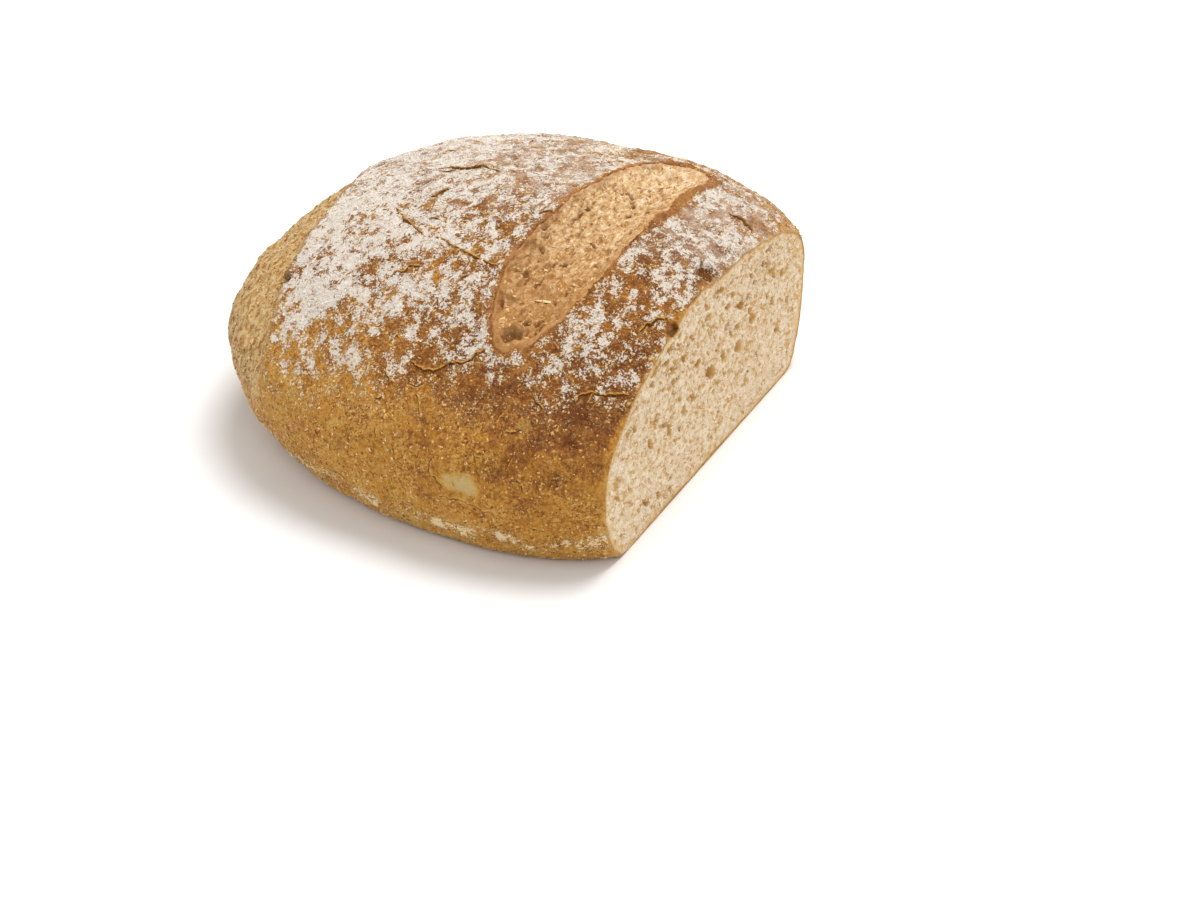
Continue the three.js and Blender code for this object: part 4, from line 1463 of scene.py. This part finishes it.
print("group:", bran_specks.name)

# %% Group for grain
GRAIN_DETAIL, GRAIN_ROUGHNESS = 4.0, 0.62
FINER_GRAIN, BROAD_SHARE, FINE_SHARE = 2.7, 0.7, 0.3


def grain_group():
    """Fine unevenness in two sizes, as a height between 0 and 1."""
    inputs = [("Vector", "NodeSocketVector"), ("Scale", "NodeSocketFloat")]
    group, start, end = new_group("grain", inputs, [("Height", "NodeSocketFloat")])
    coords, scale = start.outputs["Vector"], start.outputs["Scale"]
    broad = add_node(group, "ShaderNodeTexNoise", {"Vector": coords, "Scale": scale, "Detail": GRAIN_DETAIL,
                                                   "Roughness": GRAIN_ROUGHNESS}).outputs["Fac"]
    finer = {"Vector": coords, "Scale": times(group, scale, FINER_GRAIN)}
    fine = add_node(group, "ShaderNodeTexVoronoi", finer, feature="SMOOTH_F1").outputs["Distance"]
    height = plus(group, times(group, broad, BROAD_SHARE), times(group, fine, FINE_SHARE))
    group.links.new(height, end.inputs["Height"])
    return group


grain = grain_group()


def grain_of(tree, coords, size):
    """Height of a grain of a size in millimetres."""
    inputs = {"Vector": coords, "Scale": 1 / (size * MM)}
    return add_node(tree, "ShaderNodeGroup", inputs, node_tree=grain).outputs["Height"]


print("group:", grain.name)

# %% [markdown]
# ## The crust's finish
#
# The crust is built up as it was baked: first the browned skin, mottled and specked with bran, with pale
# flecks that are partly painted highlights on its grain and painted shade in the grain's pits; then the
# paler, drawn-out band and the reddish lips of the score; then painted shade in what is creased, cut or sunk;
# and last the flour, which is rough and white and stands a little proud, with painted shade in the gaps beside
# its clumps. An image could be painted for all this, but it blurs close up, while noises and the values on the
# points stay sharp. Each layer is a function that lays its colour over the one before. Where four numbers
# stand together, the first two are the range of a value and the last two what it becomes.

# %% A bare material
def new_material(name):
    material = bpy.data.materials.new(name)
    material.use_nodes = True
    tree = material.node_tree
    tree.nodes.clear()
    shader = add_node(tree, "ShaderNodeBsdfPrincipled")
    out_node = add_node(tree, "ShaderNodeOutputMaterial")
    tree.links.new(shader.outputs["BSDF"], out_node.inputs["Surface"])
    coords = add_node(tree, "ShaderNodeTexCoord").outputs["Object"]
    return material, tree, shader, coords


def paint(tree, shader, colour, roughness, shine):
    tree.links.new(colour, shader.inputs["Base Color"])
    tree.links.new(roughness, shader.inputs["Roughness"])
    shader.inputs["Specular IOR Level"].default_value = shine


def emboss(tree, shader, height, strength, depth):
    """Small relief in the finish, its depth in millimetres."""
    bump = add_node(tree, "ShaderNodeBump", {"Height": height, "Strength": strength, "Distance": depth * MM})
    tree.links.new(bump.outputs["Normal"], shader.inputs["Normal"])


print("helpers for materials ready")

# %% Browned skin of the crust
BAKED = [
    (0.0, srgb(232, 200, 134)),
    (0.25, srgb(230, 174, 80)),
    (0.5, srgb(218, 150, 54)),
    (0.75, srgb(170, 104, 38)),
    (1.0, srgb(120, 62, 18)),
]
PALE_FLECK_AND_HIGHLIGHT = srgb(238, 194, 116)
GRAIN_PIT_SHADE = srgb(120, 60, 12)
BRAN_BROWN = srgb(130, 66, 32)
BROWNING_GAINS = {"mottle": 1.1, "speckle": 0.5, "blotch": 0.7}
CRISP_BAKE = (0.12, 0.3, 0.45, 1.0)
PATCH_SIZE, PATCHES = 15, (0.42, 0.58, 0.3, 1.0)
FLECK_AND_HIGHLIGHT_LEVELS, FLECKS_ON_BROWN = (0.525, 0.615, 0.0, 0.9), (0.5, 0.8, 1.0, 0.5)
PIT_SHADE_LEVELS = (0.465, 0.36, 0.0, 0.85)
BRAN_SIZE, BRAN_SHARE, BRAN_REACH, BRAN_TINT = 3.4, 0.45, 0.21, 0.75


def crust_layers(tree, coords):
    """Random layers that the crust's colour and relief share."""
    return {
        "mottle": noise(tree, coords, 2.4, detail=5, roughness=0.72),
        "speckle": noise(tree, coords, 1.3, detail=3, roughness=0.75),
        "blotch": noise(tree, coords, 9),
        "texture": noise(tree, coords, 1.25, detail=4, roughness=0.75),
    }


def browned_skin(tree, coords, layers):
    baked = attribute(tree, "bake")
    browned = baked
    for name, gain in BROWNING_GAINS.items():
        browned = plus(tree, browned, centred(tree, layers[name], gain))
    colour = ramp(tree, browned, BAKED)
    patchy = rescale(tree, noise(tree, coords, PATCH_SIZE, detail=3), *PATCHES)
    crisp = times(tree, rescale(tree, baked, *CRISP_BAKE), patchy)
    # Pale flecks: partly real pale specks, partly painted highlights on the raised tops of the grain that the
    # bump also uses.
    pale = times(tree, rescale(tree, layers["texture"], *FLECK_AND_HIGHLIGHT_LEVELS), crisp)
    pale = times(tree, pale, rescale(tree, baked, *FLECKS_ON_BROWN))
    colour = mix(tree, pale, colour, PALE_FLECK_AND_HIGHLIGHT)
    # Painted shade in the pits of the same grain.
    pitted = times(tree, rescale(tree, layers["texture"], *PIT_SHADE_LEVELS), crisp)
    colour = mix(tree, pitted, colour, GRAIN_PIT_SHADE)
    speck, _ = specks(tree, coords, BRAN_SIZE, BRAN_SHARE, BRAN_REACH)
    return mix(tree, times(tree, speck, BRAN_TINT), colour, BRAN_BROWN)


print(len(BAKED), "stages of browning")

# %% Band, lips, creases, rim and painted shade
STREAKED_BAND = [(0.4, srgb(166, 112, 56)), (0.49, srgb(229, 185, 118)), (0.58, srgb(247, 219, 167))]
LIP_RED = srgb(202, 138, 82)
RIM_TAN = srgb(228, 186, 120)
SHADOW_BROWN = srgb(108, 58, 12)
BAND_SCALE, BAND_STREAK_SIZE, BAND_TINT = (1.3, 0.62, 0.8), 2.6, 0.8
LIP_GAPS = (0.42, 0.6, 1.0, 0.35)
CREASE_SIZE, CREASE_HALF_WIDTH, CREASE_SHADE_TINT = 7, 0.013, 0.6
CREASE_GAP_SIZE, CREASE_GAPS, CREASE_BAKE = 13, (0.54, 0.6), (0.2, 0.35)
RIM_GAIN, RIM_LEVELS = 3.0, (0.1, 1.0, 0.0, 0.85)
SHADE_TINT = 0.85


def band_and_lips(tree, coords, layers, colour):
    stretched = drawn_out(tree, coords, BAND_SCALE)
    streaks = ramp(tree, noise(tree, stretched, BAND_STREAK_SIZE, detail=5, roughness=0.75), STREAKED_BAND)
    colour = mix(tree, times(tree, attribute(tree, "band"), BAND_TINT), colour, streaks)
    red = times(tree, attribute(tree, "lip"), rescale(tree, layers["blotch"], *LIP_GAPS))
    return mix(tree, red, colour, LIP_RED)


def creases(tree, coords):
    """Thin broken lines, which run where a noise crosses its middle."""
    contour = math_node(tree, "ABSOLUTE", centred(tree, noise(tree, coords, CREASE_SIZE, detail=3), 1.0))
    broken = rescale(tree, noise(tree, coords, CREASE_GAP_SIZE, detail=1), *CREASE_GAPS)
    crease = times(tree, rescale(tree, contour, CREASE_HALF_WIDTH, 0.0), broken)
    return times(tree, crease, rescale(tree, attribute(tree, "bake"), *CREASE_BAKE))


def rim_and_shade(tree, layers, colour):
    at_rim = attribute(tree, "rim")
    uneven_rim = plus(tree, at_rim, centred(tree, layers["speckle"], RIM_GAIN))
    tanned = times(tree, rescale(tree, uneven_rim, *RIM_LEVELS), at_rim, clamp=True)
    colour = mix(tree, tanned, colour, RIM_TAN)
    # Painted shade where the points carry it: in notches, blisters and the slots of cracks.
    return mix(tree, times(tree, attribute(tree, "dark"), SHADE_TINT), colour, SHADOW_BROWN)


print(len(STREAKED_BAND), "tones in the band's streaks")

# %% Flour on the crust
FLOUR_WHITE = srgb(223, 213, 199)
FLOUR_CREAM = srgb(250, 222, 166)
FLOUR_THIN = srgb(212, 174, 134)
FLOUR_GAP_SHADE = srgb(112, 68, 34)
FLOUR_VEIL = srgb(224, 198, 178)
FLOUR_SCALE = (1.0, 0.8, 1.0)
DUST_SIZE, DUST_GAIN, FINE_DUST_SIZE, FINE_DUST_GAIN = 1.6, 4.2, 0.8, 2.6
HALF_COVERED = 0.5
WHITE_OVER, WHITE_COVER = (-0.03, 0.1), (0.0, 0.12)
GAP_OVER, GAP_CLOSED, GAP_COVER, GAP_SHADE_TINT = (-0.4, -0.1), (0.6, 0.3), (0.05, 0.25), 0.45
HAZE_SIZE, HAZE = 6, (0.4, 0.6, 0.2, 0.85)
THIN_OVER, THIN_COVER, THIN_TINT = (-0.4, 0.0), (0.4, 0.8), 0.6
DOT_SIZE, DOT_SHARE, DOT_REACH, DOT_COVER = 2.3, 0.5, 0.15, (0.0, 0.1, 0.0, 0.6)
LAID_COVER, DRY_COVER = (0.0, 0.5, 0.55, 0.95), (0.15, 0.5)


def thin_flour(tree, flour_cover, over, veiled, colour):
    """What shows where flour is thin: painted shade in the gaps beside it, a haze at the back and a first
    dusting.
    """
    # Painted shade in the gaps right beside the white flour.
    gap_shade = times(tree, rescale(tree, over, *GAP_OVER), rescale(tree, flour_cover, *GAP_CLOSED))
    gap_shade = times(tree, gap_shade, rescale(tree, flour_cover, *GAP_COVER))
    colour = mix(tree, times(tree, gap_shade, GAP_SHADE_TINT), colour, FLOUR_GAP_SHADE)
    colour = mix(tree, times(tree, veiled, attribute(tree, "veil")), colour, FLOUR_VEIL)
    thin = times(tree, rescale(tree, over, *THIN_OVER), rescale(tree, flour_cover, *THIN_COVER))
    return mix(tree, times(tree, thin, THIN_TINT), colour, FLOUR_THIN)


def flour_on_crust(tree, coords, colour):
    """The crust's colour with flour on it, and a mask of the white flour."""
    flour_cover = attribute(tree, "flour")
    stretched = drawn_out(tree, coords, FLOUR_SCALE)
    dust = centred(tree, noise(tree, stretched, DUST_SIZE, detail=5, roughness=0.75), DUST_GAIN)
    over = plus(tree, dust, minus(tree, flour_cover, HALF_COVERED))
    over = plus(tree, over, centred(tree, noise(tree, coords, FINE_DUST_SIZE), FINE_DUST_GAIN))
    white = times(tree, rescale(tree, over, *WHITE_OVER), rescale(tree, flour_cover, *WHITE_COVER))
    veiled = rescale(tree, noise(tree, stretched, HAZE_SIZE, detail=4), *HAZE)
    colour = thin_flour(tree, flour_cover, over, veiled, colour)
    dots, _ = specks(tree, coords, DOT_SIZE, DOT_SHARE, DOT_REACH)
    dots = times(tree, dots, rescale(tree, flour_cover, *DOT_COVER))
    laid = times(tree, math_node(tree, "MAXIMUM", white, dots), rescale(tree, flour_cover, *LAID_COVER))
    dry = minus(tree, rescale(tree, flour_cover, *DRY_COVER), attribute(tree, "warm"), clamp=True)
    return mix(tree, laid, colour, mix(tree, dry, FLOUR_CREAM, FLOUR_WHITE)), white


print("layers of flour ready")

# %% Crust
CRUST_ROUGHNESS, CRUST_SHINE = (0, 1, 0.52, 0.95), 0.22
CRUST_GRAIN_SIZE, TEXTURE_HEIGHT, CREASE_DEPTH = 1.3, 1.3, 0.3
FLOUR_SMOOTHS, FLOUR_HEIGHT = (0.0, 1.0, 1.0, 0.5), 0.55
CRUST_RELIEF, CRUST_RELIEF_DEPTH = 1.0, 1.7


def crust_material():
    material, tree, shader, coords = new_material("crust")
    layers = crust_layers(tree, coords)
    colour = browned_skin(tree, coords, layers)
    colour = band_and_lips(tree, coords, layers, colour)
    crease = creases(tree, coords)
    # Painted shade in the creases.
    colour = mix(tree, times(tree, crease, CREASE_SHADE_TINT), colour, SHADOW_BROWN)
    colour = rim_and_shade(tree, layers, colour)
    colour, white = flour_on_crust(tree, coords, colour)
    paint(tree, shader, colour, rescale(tree, white, *CRUST_ROUGHNESS), CRUST_SHINE)
    height = times(tree, layers["texture"], TEXTURE_HEIGHT)
    height = plus(tree, grain_of(tree, coords, CRUST_GRAIN_SIZE), height)
    height = times(tree, height, rescale(tree, white, *FLOUR_SMOOTHS))
    height = plus(tree, height, times(tree, white, FLOUR_HEIGHT))
    height = minus(tree, height, times(tree, crease, CREASE_DEPTH))
    emboss(tree, shader, height, CRUST_RELIEF, CRUST_RELIEF_DEPTH)
    return material


crust.data.materials.append(crust_material())
flakes.data.materials.append(crust.data.materials[0])
print("crust material:", len(crust.data.materials[0].node_tree.nodes), "nodes")

# %% [markdown]
# ## The torn score's finish
#
# Torn dough dries golden, not brown. Its crumbs catch the light, painted shade darkens its pores, its low
# places and the crevice at its left edge, some flecks of bran are pale and some are brown, and towards the
# front end it is a little darker, with painted olive shade in the deep pit. One colour with a strong bump would
# show none of this. So a noise drawn out along the tear picks the tone, and the values that the piece carries
# say where it is browned, and where it is pitted or hollow and gets painted shade.

# %% Torn score finish
TORN_TONES = [
    (0.38, srgb(154, 106, 58)),
    (0.46, srgb(192, 151, 100)),
    (0.54, srgb(212, 178, 133)),
    (0.62, srgb(230, 208, 174)),
]
TORN_BROWN = srgb(190, 132, 76)
TORN_SHADOW = srgb(126, 78, 32)
TORN_OLIVE_SHADE = srgb(118, 92, 54)
TORN_FRONT = srgb(182, 130, 72)
TORN_PALE = srgb(240, 214, 164)
TORN_SCALE, TORN_TONE_SIZE, FRONT_DARKER = (1.0, 0.5, 1.0), 2.2, -0.08
TORN_SKIN_SIZE, TORN_SKIN_GAIN, TORN_SKIN = 3, 3.0, (0.15, 0.8, 0.0, 0.5)
TORN_FRONT_LEVELS = (0.2, 1.0, 0.0, 0.5)
PALE_BRAN, BROWN_BRAN, TORN_BRAN_TINT = (3.2, 0.4, 0.24), (2.7, 0.35, 0.22), 0.6
PIT_SHADE_AMOUNT, HOLLOW_SHADE_TINT = 0.95, 0.7
TORN_ROUGHNESS, TORN_SHINE = (0.3, 0.7, 0.7, 0.92), 0.22
TORN_GRAIN_SIZE, TORN_RELIEF, TORN_RELIEF_DEPTH = 0.9, 1.0, 0.9


def torn_material():
    material, tree, shader, coords = new_material("torn score")
    stretched = drawn_out(tree, coords, TORN_SCALE)
    crumbly = noise(tree, stretched, TORN_TONE_SIZE, detail=5, roughness=0.75)
    at_front = attribute(tree, "front")
    colour = ramp(tree, plus(tree, crumbly, times(tree, at_front, FRONT_DARKER)), TORN_TONES)
    uneven_skin = centred(tree, noise(tree, coords, TORN_SKIN_SIZE, detail=4), TORN_SKIN_GAIN)
    browned = plus(tree, attribute(tree, "skin"), uneven_skin)
    colour = mix(tree, rescale(tree, browned, *TORN_SKIN), colour, TORN_BROWN)
    colour = mix(tree, rescale(tree, at_front, *TORN_FRONT_LEVELS), colour, TORN_FRONT)
    for kind, tint in ((PALE_BRAN, TORN_PALE), (BROWN_BRAN, TORN_BROWN)):
        speck, _ = specks(tree, coords, *kind)
        colour = mix(tree, times(tree, speck, TORN_BRAN_TINT), colour, tint)
    # Painted olive shade in the deep pit, and painted shade where the piece is hollow.
    colour = mix(tree, times(tree, attribute(tree, "pit"), PIT_SHADE_AMOUNT), colour, TORN_OLIVE_SHADE)
    colour = mix(tree, times(tree, attribute(tree, "hollow"), HOLLOW_SHADE_TINT, clamp=True), colour, TORN_SHADOW)
    paint(tree, shader, colour, rescale(tree, crumbly, *TORN_ROUGHNESS), TORN_SHINE)
    emboss(tree, shader, grain_of(tree, coords, TORN_GRAIN_SIZE), TORN_RELIEF, TORN_RELIEF_DEPTH)
    return material


torn_score.data.materials.append(torn_material())
print("torn score material:", len(torn_score.data.materials[0].node_tree.nodes), "nodes")

# %% [markdown]
# ## The crumb's finish
#
# Crumb is cream, with a paler web of cell walls and small pores between them, where yellow-brown is painted
# as shade, and the opened cells get painted shade, darker and warmer with depth. Bran shows as yellow-brown
# flecks, and close to the crust the crumb is tan. The cells are real dents and could be left to their own
# shade, but soft light hardly darkens anything so small, so the finish paints shade into them by the depth
# that the piece carries.

# %% Crumb finish
CRUMB_TONES = [(0.4, srgb(206, 174, 131)), (0.5, srgb(222, 198, 164)), (0.6, srgb(236, 219, 194))]
CRUMB_WEB = srgb(240, 225, 201)
CRUMB_PORE_SHADE = srgb(194, 150, 88)
CELL_SHADE = srgb(208, 167, 98)
CELL_DEEP_SHADE = srgb(190, 140, 66)
CRUMB_EDGE = srgb(224, 184, 118)
CRUMB_BRAN = [(0.0, srgb(214, 162, 86)), (1.0, srgb(190, 134, 60))]
CRUMB_SCALE, CRUMB_TONE_SIZE = (1.0, 1.7, 1.0), 2.2
WEB_SIZE, WEB_LEVELS = 1.9, (0.03, 0.0, 0.0, 0.5)
CRUMB_PORE_SIZE, CRUMB_PORES, NOT_ON_TUFTS = 2.6, (0.48, 0.4, 0.0, 0.95), (-0.6, -0.1)
TUFT_LEVELS = (0.0, TUFT_CELL, 0.0, 0.45)
CELL_LEVELS, CELL_DEEP_LEVELS = (0.1, 0.7, 0.0, 0.7), (0.6, 2.2, 0.0, 0.7)
CRUMB_SPECKS, CRUMB_BRAN_TINT = (2.8, 0.5, 0.34), 0.8
CRUMB_EDGE_SIZE, CRUMB_EDGE_GAIN, CRUMB_EDGE_LEVELS = 2.4, 14.0, (0.0, 3.0, 0.7, 0.0)
CRUMB_ROUGHNESS, CRUMB_SHINE = (0.3, 0.7, 0.8, 0.95), 0.2
CRUMB_FINISH_GRAIN, CRUMB_RELIEF, CRUMB_RELIEF_DEPTH = 0.9, 0.8, 0.6


def crumb_foam(tree, slanted, tones):
    """The cream of the cut with its web, and painted shade in its pores and its cells."""
    colour = ramp(tree, tones, CRUMB_TONES)
    web = centred(tree, noise(tree, slanted, WEB_SIZE, detail=3, roughness=0.6), 1.0)
    colour = mix(tree, rescale(tree, math_node(tree, "ABSOLUTE", web), *WEB_LEVELS), colour, CRUMB_WEB)
    cell = attribute(tree, "cell")
    pore_shade = rescale(tree, noise(tree, slanted, CRUMB_PORE_SIZE, detail=3, roughness=0.6), *CRUMB_PORES)
    # Painted shade in small pores that the net does not sink, kept off the tufts.
    colour = mix(tree, times(tree, pore_shade, rescale(tree, cell, *NOT_ON_TUFTS)), colour, CRUMB_PORE_SHADE)
    # Tufts are tinted paler, and the opened cells get painted shade by their depth.
    for levels, tint in ((TUFT_LEVELS, CRUMB_WEB), (CELL_LEVELS, CELL_SHADE), (CELL_DEEP_LEVELS, CELL_DEEP_SHADE)):
        colour = mix(tree, rescale(tree, cell, *levels), colour, tint)
    return colour


def crumb_material():
    material, tree, shader, coords = new_material("crumb")
    slant = {"Vector": coords, "Scale": CRUMB_SCALE, "Rotation": (CELL_TURN, 0.0, 0.0)}
    slanted = add_node(tree, "ShaderNodeMapping", slant, vector_type="TEXTURE").outputs["Vector"]
    tones = noise(tree, slanted, CRUMB_TONE_SIZE, detail=5, roughness=0.72)
    colour = crumb_foam(tree, slanted, tones)
    speck, tone = specks(tree, slanted, *CRUMB_SPECKS)
    colour = mix(tree, times(tree, speck, CRUMB_BRAN_TINT), colour, ramp(tree, tone, CRUMB_BRAN))
    uneven_edge = centred(tree, noise(tree, coords, CRUMB_EDGE_SIZE, detail=4), CRUMB_EDGE_GAIN)
    from_edge = plus(tree, attribute(tree, "edge"), uneven_edge)
    colour = mix(tree, rescale(tree, from_edge, *CRUMB_EDGE_LEVELS), colour, CRUMB_EDGE)
    paint(tree, shader, colour, rescale(tree, tones, *CRUMB_ROUGHNESS), CRUMB_SHINE)
    emboss(tree, shader, grain_of(tree, coords, CRUMB_FINISH_GRAIN), CRUMB_RELIEF, CRUMB_RELIEF_DEPTH)
    return material


crumb.data.materials.append(crumb_material())
tufts.data.materials.append(crumb.data.materials[0])
print("crumb material:", len(crumb.data.materials[0].node_tree.nodes), "nodes")

# %% [markdown]
# ## Flour, bran and floor
#
# Flour scatters light almost like snow, so it is nearly white and fully rough, and creamy only where it is
# thin and damp. Light that passes into it could be traced too, but on lumps this small the gain would not
# show, so a rough pale surface is enough. Bran runs from brown to straw by a tone that each flake carries.
# The floor is plain on purpose.

# %% Flour finish
FLOUR_TONES = [(0.35, srgb(208, 198, 184)), (0.62, srgb(230, 225, 217))]
FLOUR_DAMP = srgb(238, 212, 172)
FLOUR_TONE_SIZE, DAMP_LEVELS = 1.6, (0.25, 0.5, 0.75, 0.0)
FLOUR_ROUGHNESS, FLOUR_SHINE = (0.3, 0.7, 0.88, 1.0), 0.03
FLOUR_GRAIN_SIZE, FLOUR_RELIEF, FLOUR_RELIEF_DEPTH = 0.7, 0.6, 0.3


def flour_material():
    material, tree, shader, coords = new_material("flour")
    tones = noise(tree, coords, FLOUR_TONE_SIZE, detail=3)
    damp = rescale(tree, attribute(tree, "thick"), *DAMP_LEVELS)
    colour = mix(tree, damp, ramp(tree, tones, FLOUR_TONES), FLOUR_DAMP)
    paint(tree, shader, colour, rescale(tree, tones, *FLOUR_ROUGHNESS), FLOUR_SHINE)
    emboss(tree, shader, grain_of(tree, coords, FLOUR_GRAIN_SIZE), FLOUR_RELIEF, FLOUR_RELIEF_DEPTH)
    return material


flour.data.materials.append(flour_material())
print("flour material:", len(flour.data.materials[0].node_tree.nodes), "nodes")

# %% Bran finish
BRAN_TONES = [
    (0.0, srgb(120, 68, 32)),
    (0.2, srgb(170, 112, 48)),
    (0.4, srgb(212, 164, 86)),
    (1.0, srgb(230, 202, 150)),
]
BRAN_TONE_SIZE, BRAN_TONE_GAIN = 1.2, 0.6
BRAN_ROUGHNESS, BRAN_SHINE = (-0.2, 0.2, 0.65, 0.85), 0.25


def bran_material():
    material, tree, shader, coords = new_material("bran")
    uneven_tone = centred(tree, noise(tree, coords, BRAN_TONE_SIZE, detail=3), BRAN_TONE_GAIN)
    colour = ramp(tree, plus(tree, attribute(tree, "tone"), uneven_tone), BRAN_TONES)
    paint(tree, shader, colour, rescale(tree, uneven_tone, *BRAN_ROUGHNESS), BRAN_SHINE)
    return material


bran.data.materials.append(bran_material())
edge_crumbs.data.materials.append(bran.data.materials[0])
print("bran material:", len(bran.data.materials[0].node_tree.nodes), "nodes")

# %% Floor paint
FLOOR_WHITE = srgb(244, 244, 243)
FLOOR_ROUGHNESS, FLOOR_SHINE = 0.7, 0.15

floor_paint = bpy.data.materials.new("floor paint")
floor_paint.use_nodes = True
floor_shader = floor_paint.node_tree.nodes["Principled BSDF"]
floor_shader.inputs["Base Color"].default_value = FLOOR_WHITE
floor_shader.inputs["Roughness"].default_value = FLOOR_ROUGHNESS
floor_shader.inputs["Specular IOR Level"].default_value = FLOOR_SHINE
floor.data.materials.append(floor_paint)
print("materials done")

# %% [markdown]
# ## Hand-over
#
# Each piece rides on the body called root, and the imported loaf that the pieces stand for is hidden. The
# pieces are listed under the finish names crust and crumb.

# %% Ride and replace
FINISHES = {"crust": (crust, torn_score, flakes, flour, bran, edge_crumbs), "crumb": (crumb, tufts)}

for finish, pieces in FINISHES.items():
    for piece in pieces:
        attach(piece, "root")
        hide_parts("loaf")
